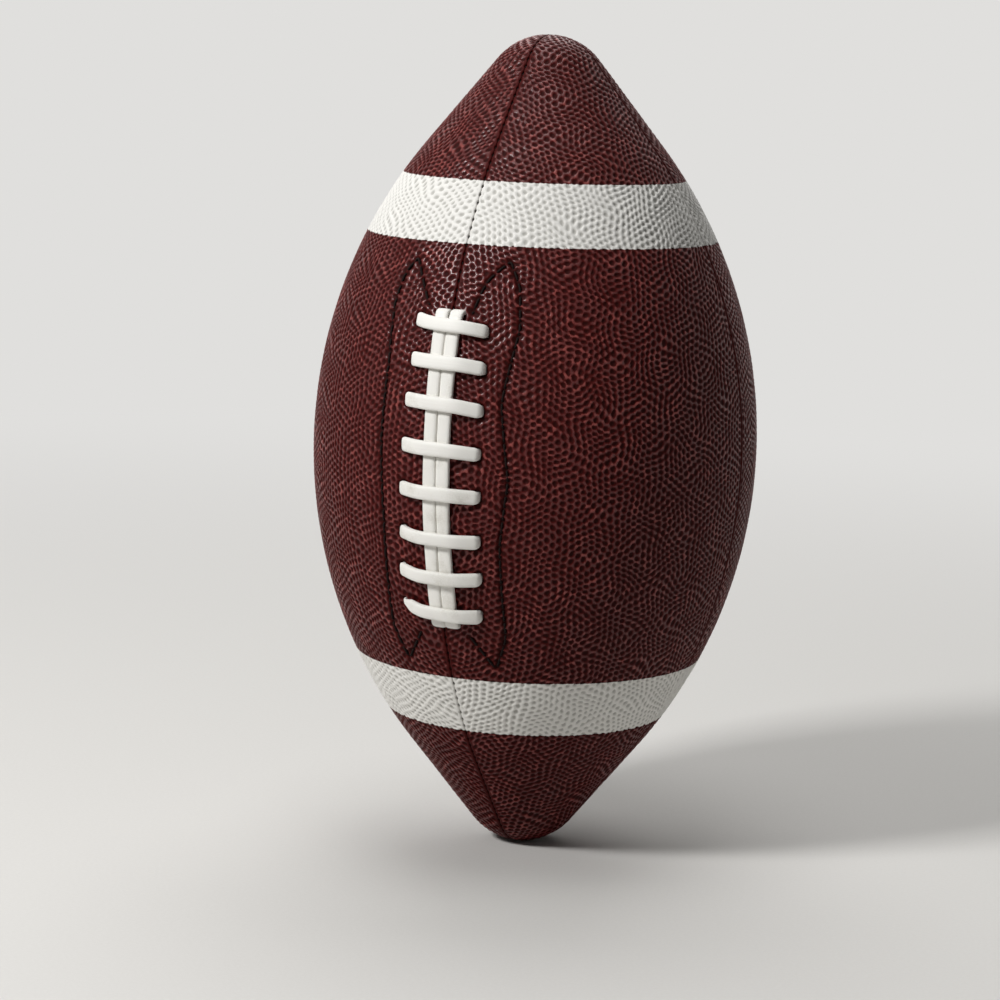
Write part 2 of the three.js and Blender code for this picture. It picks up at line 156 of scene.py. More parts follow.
class MeshParts:
    """Points and faces of one piece, gathered as whole arrays."""

    def __init__(self) -> None:
        """Starts with no points."""
        self._count = 0
        self._points: list[Array] = []
        self._keys: dict[str, list[Array]] = {}
        self._faces: list[Array] = []
        self._uvs: list[Array] = []
        self._mapped = False

    def add_points(self, points: Array, **keys: Array) -> Array:
        """Adds points.

        Args:
            points: Places in metres; the last axis holds x, y and z.
            keys: Numbers of each point that a material reads.

        Returns:
            The points' numbers, in the shape that they came in.
        """
        shape = points.shape[:-1]
        numbers = self._count + np.arange(int(np.prod(shape))).reshape(shape)
        self._points.append(points.reshape(-1, 3))
        for name, values in keys.items():
            self._keys.setdefault(name, []).append(np.broadcast_to(values, shape).ravel())
        self._count += numbers.size
        return numbers

    def add_faces(self, corners: Array, uv: Array | None = None) -> None:
        """Adds faces of one number of corners, with a place on the UV map for each corner if given."""
        self._mapped = self._mapped or uv is not None
        self._faces.append(corners)
        self._uvs.append(np.zeros((*corners.shape, 2)) if uv is None else uv)

    def build(self, name: str, weld: bool = False, uv_map: str = PATTERN_MAP) -> bpy.types.Object:
        """Makes the piece.

        Args:
            name: The piece's name.
            weld: Whether points that coincide are joined.
            uv_map: Name of its UV map, if its faces have places on one.

        Returns:
            The new object, at the origin.
        """
        points = np.concatenate(self._points)
        corners = np.concatenate([faces.ravel() for faces in self._faces])
        sizes = np.concatenate([np.full(len(faces), faces.shape[1]) for faces in self._faces])
        mesh = bpy.data.meshes.new(name)
        mesh.vertices.add(len(points))
        mesh.loops.add(len(corners))
        mesh.polygons.add(len(sizes))
        mesh.vertices.foreach_set("co", points.astype(np.float32).ravel())
        mesh.loops.foreach_set("vertex_index", corners.astype(np.int32))
        starts = np.concatenate([[0], np.cumsum(sizes)[:-1]])
        mesh.polygons.foreach_set("loop_start", starts.astype(np.int32))
        mesh.polygons.foreach_set("use_smooth", np.ones(len(sizes), bool))
        for key, values in self._keys.items():
            attribute = mesh.attributes.new(key, "FLOAT", "POINT")
            attribute.data.foreach_set("value", np.concatenate(values).astype(np.float32))
        if self._mapped:
            spots = np.concatenate([uv.ravel() for uv in self._uvs])
            mesh.uv_layers.new(name=uv_map).data.foreach_set("uv", spots.astype(np.float32))
        mesh.update(calc_edges=True)
        mesh.validate()
        if weld:
            self._weld(mesh)
        piece = bpy.data.objects.new(name, mesh)
        bpy.context.scene.collection.objects.link(piece)
        return piece

    @staticmethod
    def _weld(mesh: bpy.types.Mesh, distance: float = 2e-6) -> None:
        """Joins points that coincide and drops faces with no area."""
        solid = bmesh.new()
        solid.from_mesh(mesh)
        bmesh.ops.remove_doubles(solid, verts=solid.verts, dist=distance)
        bmesh.ops.dissolve_degenerate(solid, edges=solid.edges, dist=distance)
        loose = [vertex for vertex in solid.verts if not vertex.link_faces]
        bmesh.ops.delete(solid, geom=loose, context="VERTS")
        solid.to_mesh(mesh)
        solid.free()


# Shape of the ball


@dataclass(frozen=True)
class BallShape:
    """Outline of the ball: a round belly, a straight cone tangent to it and a round nose.

    Attributes:
        length: From tip to tip.
        diameter: At the waist.
        nose_radius: Rounding of each tip.
        nose_slope: Degrees between a nose's straight side and the long axis.
    """

    length: float = 272.0
    diameter: float = 148.0
    nose_radius: float = 21.5
    nose_slope: float = 38.7

    @cached_property
    def slope(self) -> float:
        """The nose's slope in radians."""
        return float(np.radians(self.nose_slope))

    @cached_property
    def belly_radius(self) -> float:
        """Radius of the arc that is tangent to the waist and to both cones."""
        cone = (self.length / 2 - self.nose_radius) * np.sin(self.slope) + self.nose_radius
        return float((cone - self.diameter / 2 * np.cos(self.slope)) / (1 - np.cos(self.slope)))

    @cached_property
    def cone_run(self) -> float:
        """Length of the straight side between the belly and the nose."""
        belly_end = self.diameter / 2 - self.belly_radius * (1 - np.cos(self.slope))
        return float((belly_end - self.nose_radius * np.cos(self.slope)) / np.sin(self.slope))

    @cached_property
    def half_arc(self) -> float:
        """Arc from the waist to a tip."""
        nose_turn = np.pi / 2 - self.slope
        return float(self.belly_radius * self.slope + self.cone_run + self.nose_radius * nose_turn)

    def meridian(self, arc: Array) -> tuple[Array, Array, Array]:
        """Follows the outline: round the belly, then straight, then round the nose.

        Args:
            arc: Distances along the outline from the waist, upwards.

        Returns:
            The radius, the height over the lower tip and the lean of the normal above level.
        """
        away = np.abs(arc)
        lean = np.minimum(away / self.belly_radius, self.slope)
        run = np.clip(away - self.belly_radius * self.slope, 0.0, self.cone_run)
        past = away - self.belly_radius * self.slope - self.cone_run
        nose = self.slope + np.clip(past / self.nose_radius, 0.0, np.pi / 2 - self.slope)
        radius = self.diameter / 2 - self.belly_radius * (1 - np.cos(lean)) - run * np.sin(self.slope)
        radius = radius - self.nose_radius * (np.cos(self.slope) - np.cos(nose))
        height = self.belly_radius * np.sin(lean) + run * np.cos(self.slope)
        height = height + self.nose_radius * (np.sin(nose) - np.sin(self.slope))
        up = np.sign(arc)
        return radius, self.length / 2 + up * height, up * (lean + nose - self.slope)

    def arc_at(self, height: Array | float) -> Array:
        """The arc from the waist to a height over it, on the belly."""
        return self.belly_radius * np.arcsin(np.asarray(height) / self.belly_radius)

    def half_width(self, arc: Array) -> Array:
        """Distance from a panel's middle to its seam, an eighth of the way round the ball."""
        return self.meridian(arc)[0] * np.pi / 4

    def place(self, middle: float, across: Array, arc: Array, rise: Array | float) -> Array:
        """Finds spots near the ball's surface.

        Args:
            middle: Direction of the meridian that across is counted from, in degrees from +X.
            across: Distances round the ball from it, to the right seen from outside.
            arc: Distances along it from the waist.
            rise: Heights over the surface.

        Returns:
            Points in metres.
        """
        radius, height, lean = self.meridian(arc)
        turn = np.radians(middle) + across / np.maximum(radius, MM)
        out = radius + rise * np.cos(lean)
        points = np.stack([out * np.cos(turn), out * np.sin(turn), height + rise * np.sin(lean)], -1)
        return points * MM


# Cover


@dataclass(frozen=True)
class Seam:
    """Two panel edges that roll in and are drawn together by stitches.

    Attributes:
        roll: How far from the seam the cover begins to roll in.
        depth: Of the crease.
        slit: Half of the gap that is left between two stitches.
        pitch: From one stitch to the next.
        stop: From a tip of the ball to the last stitch.
        hole: Half length of the dimple at a stitch.
        hole_slit: How much wider the slit is there.
        hole_depth: How much deeper the crease is there.
        thread: Diameter of the sewing thread.
    """

    roll: float = 0.75
    depth: float = 0.45
    slit: float = 0.01
    pitch: float = 3.0
    stop: float = 5.0
    hole: float = 0.5
    hole_slit: float = 0.34
    hole_depth: float = 0.6
    thread: float = 0.8

    def pull(self, arc: Array) -> Array:
        """How far a stitch draws the cover in: a bell curve that repeats with each stitch."""
        off = (arc / self.pitch + 0.5) % 1.0 - 0.5
        return np.exp(-((off * self.pitch / self.hole) ** 2))


@dataclass(frozen=True)
class Grain:
    """The cover's pebbled relief: pits in short, wavy rows, with a net of ridges between them.

    Three trains of waves cross at 60 degrees. Where their troughs meet, the relief sinks into a hollow.
    Their phases and strengths drift over the cover, so that the rows wander and some pits run together.

    Attributes:
        wavelength: From one row of pits to the next.
        drift: How far a train's phase drifts, in radians.
        stray: How far the middle train's phase drifts away from those of the other two.
        swell: How much a train's strength varies.
        drift_length: Length of the drift's and the swell's own waves.
        drift_waves: How many of those are added up.
        steep: How steep the bumps' sides are.
        spacing: Of the mesh's points.
        shake: How far a point is off the regular mesh, as a share of the spacing.
        height: From a crown of 0 to one of 1.
        proud: How far a crown of 1 stands over the smooth cover.
        fade: Width of the strip along a seam where the grain flattens out.
    """

    wavelength: float = 2.05
    drift: float = 1.8
    stray: float = 0.9
    swell: float = 0.35
    drift_length: float = 15.0
    drift_waves: int = 6
    steep: float = 0.9
    spacing: float = 0.575
    shake: float = 0.16
    height: float = 0.5
    proud: float = 0.16
    fade: float = 0.6

    def points(self, half_width: float, half_length: float, draw: np.random.Generator) -> Array:
        """Spreads a staggered, slightly shaken mesh of points over a flat sheet.

        Args:
            half_width: Half of the sheet's width.
            half_length: Half of its length.
            draw: The random draws.

        Returns:
            The points' distances across and along.
        """
        rise = self.spacing * np.sqrt(3) / 2
        rows, columns = int(half_length / rise) + 1, int(half_width / self.spacing) + 1
        row, column = np.mgrid[-rows : rows + 1, -columns : columns + 1]
        flat = np.stack([(column + row % 2 / 2) * self.spacing, row * rise], -1).reshape(-1, 2)
        return flat + draw.uniform(-self.shake, self.shake, flat.shape) * self.spacing

    def crown(self, flat: Array, draw: np.random.Generator) -> Array:
        """How high the relief is at places on the sheet: 0 in the deepest valleys and 1 on the bumps.

        Args:
            flat: Distances across and along.
            draw: The random draws.

        Returns:
            The crowns.
        """
        first, last = (self.drift * self._wander(flat, draw) for _ in range(2))
        middle = first + last + np.pi + self.stray * self._wander(flat, draw)
        total = np.zeros(len(flat))
        for turn, phase in zip(np.radians([0.0, 60.0, 120.0]), (first, middle, last)):
            heading = np.array([np.cos(turn), np.sin(turn)]) * 2 * np.pi / self.wavelength
            total += (1.0 + self.swell * self._wander(flat, draw)) * np.cos(flat @ heading + phase)
        return 0.5 + 0.5 * np.tanh(self.steep * total)

    def _wander(self, flat: Array, draw: np.random.Generator) -> Array:
        """A slow swell over the sheet, mostly from -1 to 1: the sum of long waves that run every way."""
        turn, start = draw.uniform(0, 2 * np.pi, (2, self.drift_waves))
        heading = np.stack([np.cos(turn), np.sin(turn)]) * 2 * np.pi / self.drift_length
        return np.sin(flat @ heading + start).sum(1) / np.sqrt(self.drift_waves)


@dataclass(frozen=True)
class Hole:
    """A hole through a panel: an oval, squared off by its power.

    Attributes:
        across: Of its middle.
        arc: Of its middle.
        half_across: Half of its width.
        half_along: Half of its height.
        power: 2 for an oval, and more for a squarer hole.
        draw: How deep the cover is drawn in at its edge.
        ease: How far outside it the cover is drawn in, as a share of its size.
        sides: Points round its edge.
    """

    across: float
    arc: float
    half_across: float
    half_along: float
    power: float
    draw: float
    ease: float
    sides: int = 28

    def loop(self) -> Array:
        """Points round its edge: a circle whose sine and cosine are raised to 2 over the power."""
        edge = squared(circle(self.sides), 2 / self.power)
        return edge * [self.half_across, self.half_along] + [self.across, self.arc]

    def reach(self, across: Array, arc: Array) -> Array:
        """How far places are from its middle: 1 on its edge and 2 at twice its size."""
        x = np.abs((across - self.across) / self.half_across)
        y = np.abs((arc - self.arc) / self.half_along)
        return (x**self.power + y**self.power) ** (1 / self.power)

    def hollow(self, across: Array, arc: Array) -> Array:
        """How deep the cover is drawn in round it: a bell curve outside its edge."""
        past = np.maximum(self.reach(across, arc) - 1.0, 0.0)
        return self.draw * np.exp(-((past / self.ease) ** 2))


def level(across: Array, arc: Array) -> Array:
    """A panel with no furrows."""
    return np.zeros_like(across)


@dataclass(frozen=True)
class Relief:
    """What draws a panel in.

    Attributes:
        furrow: Depth of its furrows, as a function of places across and along it.
        holes: Through it.
    """

    furrow: Callable[[Array, Array], Array]
    holes: tuple[Hole, ...] = ()

    def depth(self, across: Array, arc: Array) -> Array:
        """How deep the cover is drawn in: the deepest of the furrows and the holes' hollows."""
        sink = self.furrow(across, arc)
        for hole in self.holes:
            sink = np.maximum(sink, hole.hollow(across, arc))
        return sink


@dataclass(frozen=True)
class Patch:
    """Some of a panel's points.

    Attributes:
        numbers: Their numbers in its mesh.
        flat: Each one's distance across and along the panel.
    """

    numbers: Array
    flat: Array

    def __getitem__(self, picked: Any) -> Patch:
        """Picks some of them."""
        return Patch(self.numbers[picked], self.flat[picked])

    def __add__(self, other: Patch) -> Patch:
        """Adds another patch after its own points."""
        numbers = np.concatenate([self.numbers, other.numbers])
        return Patch(numbers, np.concatenate([self.flat, other.flat]))


@dataclass(frozen=True)
class MapLayout:
    """Where a panel's skins lie on its UV map, which is 1 wide and 1 high.

    Attributes:
        face: Middle of the grained face, from the left.
        wall: Middle of the inner wall, from the left.
        edge: From the map's middle to where a rolled edge begins, on either side.
        edge_step: From one point of an edge's row to the next.
        hole: Place of the holes' walls, from the left and from below.
        hole_size: Of the square that they take up.
        room: Height of the map, in halves of the panel's length.
    """

    face: float = 0.2
    wall: float = 0.8
    edge: float = 0.02
    edge_step: float = 0.012
    hole: float = 0.02
    hole_size: float = 0.01
    room: float = 2.05


@dataclass
class CoverPanel:
    """One of the four panels: a grained face, two rolled edges, a plain inner wall and its holes.

    Attributes:
        node: The solid that the panel stands for.
        middle: Direction of its middle, in degrees from +X.
        ball: The ball's outline.
        seam: How its edges are sewn.
        grain: Its pits and ridges.
        relief: What draws it in.
        seed: Start of the random draws.
        thickness: Of the cover.
        edge_step: From one row of the edges to the next.
        edge_turns: Points in a row that roll in.
        edge_crown: The grain's crown where it has flattened out.
        crease_shade_floor: Share of that crown that is left at the bottom of an edge's roll, where it
            paints shade into the crease.
        full_draw: Depth at which the cover is fully drawn in.
        drawn_flat: Share of the grain's height that is lost there.
        drawn_shade: Share of its crown that is lost there, which paints shade into the furrows and the
            hollows round the holes.
        tip_rows: Rows from where the rolled edges meet to a tip.
        clearance: Least distance of a grain's point from an edge.
        inner_step: Between the inner wall's points.
        inner_clearance: Least distance of those from an edge.
        layout: Of its UV map.
    """

    node: str
    middle: float
    ball: BallShape
    seam: Seam
    grain: Grain
    relief: Relief
    seed: int
    thickness: float = 1.9
    edge_step: float = 0.42
    edge_turns: int = 6
    edge_crown: float = 0.5
    crease_shade_floor: float = 0.4
    full_draw: float = 0.7
    drawn_flat: float = 0.5
    drawn_shade: float = 0.9
    tip_rows: int = 9
    clearance: float = 0.28
    inner_step: float = 4.0
    inner_clearance: float = 1.0
    layout: MapLayout = MapLayout()

    def roll(self, arc: Array) -> Array:
        """Width of the rolled edge, which takes up the whole panel at its tips."""
        return np.minimum(self.seam.roll, self.ball.half_width(arc))

    def limit(self, arc: Array) -> Array:
        """Half width of the grained face."""
        return self.ball.half_width(arc) - self.roll(arc)

    @cached_property
    def face_reach(self) -> float:
        """Arc from the waist to where the two rolled edges meet on the nose."""
        turn = np.arcsin(self.seam.roll / (np.pi / 4 * self.ball.nose_radius))
        return self.ball.half_arc - self.ball.nose_radius * float(turn)

    @cached_property
    def arcs(self) -> Array:
        """Arcs of the edges' rows: even along the face, and a few more from there to each tip."""
        steps = int(2 * self.face_reach / self.edge_step)
        tip = np.linspace(self.face_reach, self.ball.half_arc, self.tip_rows)[1:]
        return np.concatenate([-tip[::-1], np.linspace(-self.face_reach, self.face_reach, steps), tip])

    def build(self) -> bpy.types.Object:
        """Makes the panel as one closed skin."""
        parts = MeshParts()
        left, right = (self._add_edge(parts, side) for side in Side)
        rims = [self._add_hole(parts, hole) for hole in self.relief.holes]
        rows = slice(self.tip_rows - 1, len(self.arcs) - self.tip_rows + 1)
        front = right[rows, 0] + left[rows, 0][-2:0:-1]
        back = right[:, -1] + left[:, -1][-2:0:-1]
        face_loops = [front, *(outer for outer, _ in rims)]
        wall_loops = [back, *(inner for _, inner in rims)]
        self._fill(parts, face_loops, self._add_grain(parts), self.layout.face)
        self._fill(parts, wall_loops, self._add_inner_points(parts), self.layout.wall, inward=True)
        return parts.build(self.node.replace("panel", "cover"), weld=True, uv_map=BAKE_MAP)

    def _clear(self, flat: Array, half_width: Array, clearance: float) -> Array:
        """Which places are inside the panel and outside its holes, clear of every edge."""
        across, arc = flat.T
        clear = np.abs(across) < half_width - clearance
        for hole in self.relief.holes:
            clear &= hole.reach(across, arc) > 1.0 + clearance / min(hole.half_across, hole.half_along)
        return clear

    def _add_grain(self, parts: MeshParts) -> Patch:
        """Lays the grain on the ball, raised by its ridges and drawn in by the relief."""
        draw = np.random.default_rng(self.seed)
        flat = self.grain.points(self.limit(np.zeros(1))[0], self.face_reach, draw)
        flat = flat[self._clear(flat, self.limit(flat[:, 1]), self.clearance)]
        grain_crown = self.grain.crown(flat, draw)
        across, arc = flat.T
        inside = smooth_step((self.limit(arc) - np.abs(across)) / self.grain.fade)
        dip = self.relief.depth(across, arc) * inside
        drawn = np.clip(dip / self.full_draw, 0.0, 1.0)
        strength = inside * (1.0 - self.drawn_flat * drawn)
        rise = strength * (self.grain.height * (grain_crown - 1.0) + self.grain.proud) - dip
        crown = self.edge_crown + (grain_crown - self.edge_crown) * strength
        # The crown drops where the cover is drawn in: painted shade in the furrows and round the holes
        crown = crown * (1.0 - self.drawn_shade * drawn)
        places = self.ball.place(self.middle, across, arc, rise)
        return Patch(parts.add_points(places, crown=crown), flat)

    def _add_inner_points(self, parts: MeshParts) -> Patch:
        """Lays a coarse net of points on the plain inner wall."""
        half = self.ball.half_width(np.zeros(1))[0]
        rows = int(2 * self.ball.half_arc / self.inner_step)
        columns = int(2 * half / self.inner_step)
        arc, across = np.meshgrid(
            np.linspace(-self.ball.half_arc, self.ball.half_arc, rows),
            np.linspace(-half, half, columns),
            indexing="ij",
        )
        flat = np.stack([across.ravel(), arc.ravel()], -1)
        flat = flat[self._clear(flat, self.limit(flat[:, 1]), self.inner_clearance)]
        places = self.ball.place(self.middle, *flat.T, -self.thickness)
        return Patch(parts.add_points(places, crown=0.0), flat)

    def _add_edge(self, parts: MeshParts, side: Side) -> Patch:
        """Rolls one edge in by a quarter turn, drawn in at each stitch, then takes it to the inner wall.

        Args:
            parts: The piece that is being made.
            side: Which edge.

        Returns:
            The edge's points, in rows that run in from the face.
        """
        seam, arcs = self.seam, self.arcs
        turn = np.radians(np.linspace(0.0, 90.0, self.edge_turns))
        half = self.ball.half_width(arcs)[:, None]
        pull = seam.pull(arcs)[:, None]
        roll = self.roll(arcs)[:, None]
        slit = np.minimum(seam.slit + seam.hole_slit * pull, half / 2)
        inset = slit + (roll - slit) * (1.0 - np.sin(turn))
        depth = (seam.depth + seam.hole_depth * pull) * (1.0 - np.cos(turn))
        inset = np.concatenate([inset, slit], 1)
        depth = np.concatenate([depth, np.full_like(slit, self.thickness)], 1)
        # The crown falls off down the roll: painted shade in the seam's crease
        fall = np.append(self.crease_shade_floor + (1.0 - self.crease_shade_floor) * np.cos(turn), 0.0)
        crown = np.broadcast_to(self.edge_crown * fall, inset.shape)
        flat = np.stack([side.value * (half - inset), np.broadcast_to(arcs[:, None], inset.shape)], -1)
        places = self.ball.place(self.middle, flat[..., 0], flat[..., 1], -depth)
        edge = Patch(parts.add_points(places, crown=crown), flat)
        spots = self._bake_spots(flat, 0.5)
        columns = self.layout.edge + self.layout.edge_step * np.arange(inset.shape[1])
        spots[..., 0] = 0.5 + side.value * columns
        faces = grid_faces(*inset.shape)
        faces = faces if side is Side.RIGHT else faces[:, ::-1]
        parts.add_faces(edge.numbers.ravel()[faces], spots.reshape(-1, 2)[faces])
        return edge

    def _add_hole(self, parts: MeshParts, hole: Hole) -> tuple[Patch, Patch]:
        """Cuts a hole's wall through the cover.

        Args:
            parts: The piece that is being made.
            hole: The hole.

        Returns:
            The wall's outer and inner rim.
        """
        flat = hole.loop()
        across, arc = np.broadcast_to(flat.T[:, None], (2, 2, len(flat)))
        rise = -np.stack([self.relief.depth(*flat.T), np.full(len(flat), self.thickness)])
        # The wall's crown of 0 gives it the pits' colour: painted shade inside the hole
        wall = parts.add_points(self.ball.place(self.middle, across, arc, rise), crown=0.0)
        faces = grid_faces(*wall.shape, ring=True)
        square = np.array([[0, 0], [1, 0], [1, 1], [0, 1]]) * self.layout.hole_size + self.layout.hole
        parts.add_faces(wall.ravel()[faces], np.broadcast_to(square, (*faces.shape, 2)))
        return Patch(wall[0], flat), Patch(wall[1], flat)

    def _fill(
        self, parts: MeshParts, loops: list[Patch], inside: Patch, zone: float, inward: bool = False
    ) -> None:
        """Fills the face or the inner wall with triangles.

        Args:
            parts: The piece that is being made.
            loops: Its outline and its holes.
            inside: Points between them.
            zone: Where it goes on the UV map, from the map's left side.
            inward: Whether it faces the ball's middle.
        """
        corners = fill_outline([loop.flat for loop in loops], inside.flat)
        corners = corners[:, ::-1] if inward else corners
        every = inside
        for loop in reversed(loops):
            every = loop + every
        parts.add_faces(every.numbers[corners], self._bake_spots(every.flat, zone)[corners])

    def _bake_spots(self, flat: Array, zone: float) -> Array:
        """Places on the UV map: the flat pattern at one scale, upright, round a zone's middle."""
        return flat / (self.layout.room * self.ball.half_arc) + [zone, 0.5]


# Threads and the lace


def round_route(
    corners: Array, radii: Array, twists: Array, step: float, turn_step: float
) -> tuple[Array, Array]:
    """Rounds the corners of a route by arcs and divides its straight runs.

    Args:
        corners: Points that the route turns at, with its two ends.
        radii: Radius at each corner.
        twists: An angle that holds from each corner to the next, and changes along the corner's arc.
        step: Longest straight stretch.
        turn_step: Largest turn of one step round a corner, in degrees.

    Returns:
        The route's points, and the angle at each of them.
    """
    route, angles = [corners[:1]], [twists[:1]]
    for i in range(1, len(corners) - 1):
        arrive = corners[i] - corners[i - 1]
        leave = corners[i + 1] - corners[i]
        arrive = arrive / np.linalg.norm(arrive)
        leave = leave / np.linalg.norm(leave)
        angle = np.arccos(np.clip(arrive @ leave, -1.0, 1.0))
        start = corners[i] - arrive * radii[i] * np.tan(angle / 2)
        inward = leave - arrive * np.cos(angle)
        inward = inward / np.linalg.norm(inward)
        turn = np.linspace(0.0, angle, int(np.degrees(angle) / turn_step) + 2)[:, None]
        arc = start + radii[i] * (arrive * np.sin(turn) + inward * (1.0 - np.cos(turn)))
        straight = divide(route[-1][-1], start, step)[:-1]
        route += [straight, arc]
        angles += [np.full(len(straight), twists[i - 1]), np.linspace(twists[i - 1], twists[i], len(arc))]
    straight = divide(route[-1][-1], corners[-1], step)
    route.append(straight)
    angles.append(np.full(len(straight), twists[-2]))
    return np.concatenate(route), np.concatenate(angles)


def build_sweep(name: str, path: Array, hint: Array, section: Array) -> bpy.types.Object:
    """Makes a piece by carrying a closed section along a path and capping both ends.

    Args:
        name: The piece's name.
        path: Points in metres.
        hint: At each point, the direction that the section's first axis leans to.
        section: Points (along the hint, across it) in millimetres, or one such outline for each point.

    Returns:
        The new piece.
    """
    along = unit_rows(np.gradient(path, axis=0))
    wide = unit_rows(hint - along * np.sum(hint * along, axis=1, keepdims=True))
    thick = np.cross(along, wide)
    outline = np.broadcast_to(section, (len(path), *section.shape[-2:])) * MM
    rings = path[:, None] + outline[..., :1] * wide[:, None] + outline[..., 1:] * thick[:, None]
    rows, sides = rings.shape[:2]
    parts = MeshParts()
    numbers = parts.add_points(rings)
    length = run_along(path) / MM
    i, j = np.meshgrid(np.arange(rows - 1), np.arange(sides), indexing="ij")
    u = np.stack([length[i], length[i], length[i + 1], length[i + 1]], -1)
    v = np.stack([j, j + 1, j + 1, j], -1) / sides
    quads = numbers.ravel()[grid_faces(rows, sides, ring=True)]
    parts.add_faces(quads, np.stack([u, v], -1).reshape(-1, 4, 2))
    parts.add_faces(numbers[0, ::-1][None])
    parts.add_faces(numbers[-1][None])
    return parts.build(name)


@dataclass
class SeamThread:
    """The sewing thread of one seam, which comes up at each stitch and dives between them.

    Attributes:
        node: The solid that it stands for.
        direction: Of its meridian, in degrees from +X.
        low: Arc from the waist where it starts.
        high: Where it ends.
        ball: The ball's outline.
        seam: How the seam is sewn.
        shallow: Depth of the thread's middle on top of a stitch.
        dive: How much deeper it is between two stitches.
        step: From one point of its path to the next.
        sides: Of the thread.
    """

    node: str
    direction: float
    low: float
    high: float
    ball: BallShape
    seam: Seam
    shallow: float = 0.8
    dive: float = 0.6
    step: float = 0.3
    sides: int = 6

    def build(self) -> bpy.types.Object:
        """Makes the thread as a tube whose depth follows the stitches."""
        arcs = np.linspace(self.low, self.high, int((self.high - self.low) / self.step))
        depth = self.shallow + self.dive * (1.0 - self.seam.pull(arcs))
        path = self.ball.place(self.direction, np.zeros_like(arcs), arcs, -depth)
        turn = np.radians(self.direction)
        hint = np.broadcast_to(np.array([-np.sin(turn), np.cos(turn), 0.0]), path.shape)
        name = self.node.replace("thread", "stitches")
        return build_sweep(name, path, hint, self.seam.thread / 2 * circle(self.sides))


@dataclass(frozen=True)
class Crossing:
    """One crossing of the lace, as the hand that pulled it left it.

    Attributes:
        height: Over the waist, where it passes over the strips.
        left_reach: From the front seam to its left hole.
        left_lift: How much higher than its middle the left hole is.
        right_reach: From the front seam to its right hole.
        right_drop: How much lower than its middle the right hole is.
        left_taper: Share of its width that is left at the left hole.
    """

    height: float
    left_reach: float
    left_lift: float
    right_reach: float
    right_drop: float
    left_taper: float = 1.0


@dataclass
class Facing:
    """The stitching of one lace panel's facing: a row of stitches and the furrow that it draws.

    Attributes:
        side: Which of the two lace panels.
        corners: Where the row turns, as points (from the front seam, height over the waist), from below.
        ball: The ball's outline.
        radius: Rounding of those turns.
        ear_radius: Rounding of the row's two points.
        step: Longest straight stretch of the row's route.
        turn_step: Largest turn of one step round a corner, in degrees.
        stitch: Length of one stitch.
        stitch_steps: Steps along a stitch.
        spring: How steeply a stitch comes up from its needle holes.
        hidden: How much of that rise doesn't show.
        thread: Diameter of the thread.
        thread_sides: Of the thread.
        sink: Depth of the thread's middle below the cover, on top of a stitch.
        needle_dive: How much deeper it is in a needle hole.
        furrow_depth: Of the furrow.
        furrow_width: Its half width.
        furrow_reach: How far from the row it is worked out, in half widths.
        bridge: Share of its depth that is left where the cover comes up between two stitches.
    """

    side: Side
    corners: tuple[tuple[float, float], ...]
    ball: BallShape
    radius: float = 12.0
    ear_radius: float = 0.8
    step: float = 1.5
    turn_step: float = 12.0
    stitch: float = 4.2
    stitch_steps: int = 10
    spring: float = 2.4
    hidden: float = 0.35
    thread: float = 0.75
    thread_sides: int = 6
    sink: float = 0.32
    needle_dive: float = 1.2
    furrow_depth: float = 0.8
    furrow_width: float = 0.78
    furrow_reach: float = 4.0
    bridge: float = 0.15

    @cached_property
    def route(self) -> Array:
        """The row's route, as points (from the front seam, height over the waist)."""
        corners = np.array(self.corners)
        radii = np.full(len(corners), self.radius)
        radii[[corners[:, 1].argmin(), corners[:, 1].argmax()]] = self.ear_radius
        return round_route(corners, radii, np.zeros(len(corners)), self.step, self.turn_step)[0]

    def dash(self, at: Array) -> Array:
        """How far a stitch shows: 1 at its middle and 0 at the needle holes at both its ends."""
        return smooth_step(self.spring * np.abs(np.sin(np.pi * at / self.stitch)) - self.hidden)

    def furrow(self, across: Array, arc: Array) -> Array:
        """Depth of the furrow: a bell curve over the distance from the row, shallower between stitches.

        Args:
            across: Distances from the panel's middle.
            arc: Distances along it from the waist.

        Returns:
            The depths.
        """
        route = np.stack([self.route[:, 0], self.ball.arc_at(self.route[:, 1])], -1)
        reach, rise = np.abs(route).max(0) + self.furrow_reach * self.furrow_width
        start, run = route[:-1], np.diff(route, axis=0)
        length = np.linalg.norm(run, axis=1)
        before = np.cumsum(length) - length
        from_seam = self.ball.half_width(arc) + self.side.value * across
        close = (from_seam < reach) & (np.abs(arc) < rise)
        spots = np.stack([from_seam[close], arc[close]], -1)
        share = np.clip(np.sum((spots[:, None] - start) * run, -1) / length**2, 0.0, 1.0)
        off = np.linalg.norm(spots[:, None] - start - share[..., None] * run, axis=-1)
        nearest = off.argmin(1)[:, None]
        at = np.take_along_axis(before + share * length, nearest, 1)[:, 0]
        distance = np.take_along_axis(off, nearest, 1)[:, 0]
        pull = self.bridge + (1.0 - self.bridge) * self.dash(at)
        sink = np.zeros_like(across)
        sink[close] = self.furrow_depth * pull * np.exp(-((distance / self.furrow_width) ** 2))
        return sink

    def build(self) -> bpy.types.Object:
        """Makes the row of stitches: one thread in the furrow that dives at each needle hole."""
        run = run_along(self.route)
        count = int(run[-1] / self.stitch)
        at = np.linspace(0.0, run[-1], self.stitch_steps * count + 1)
        across = self.side.value * np.interp(at, run, self.route[:, 0])
        arc = self.ball.arc_at(np.interp(at, run, self.route[:, 1]))
        rise = self.needle_dive * (self.dash(at) - 1.0) - self.sink
        path = self.ball.place(FRONT, across, arc, rise)
        outward = self.ball.place(FRONT, across, arc, rise + 1.0) - path
        name = f"facing_stitches_{self.side.name.lower()}"
        return build_sweep(name, path, outward, self.thread / 2 * circle(self.thread_sides))


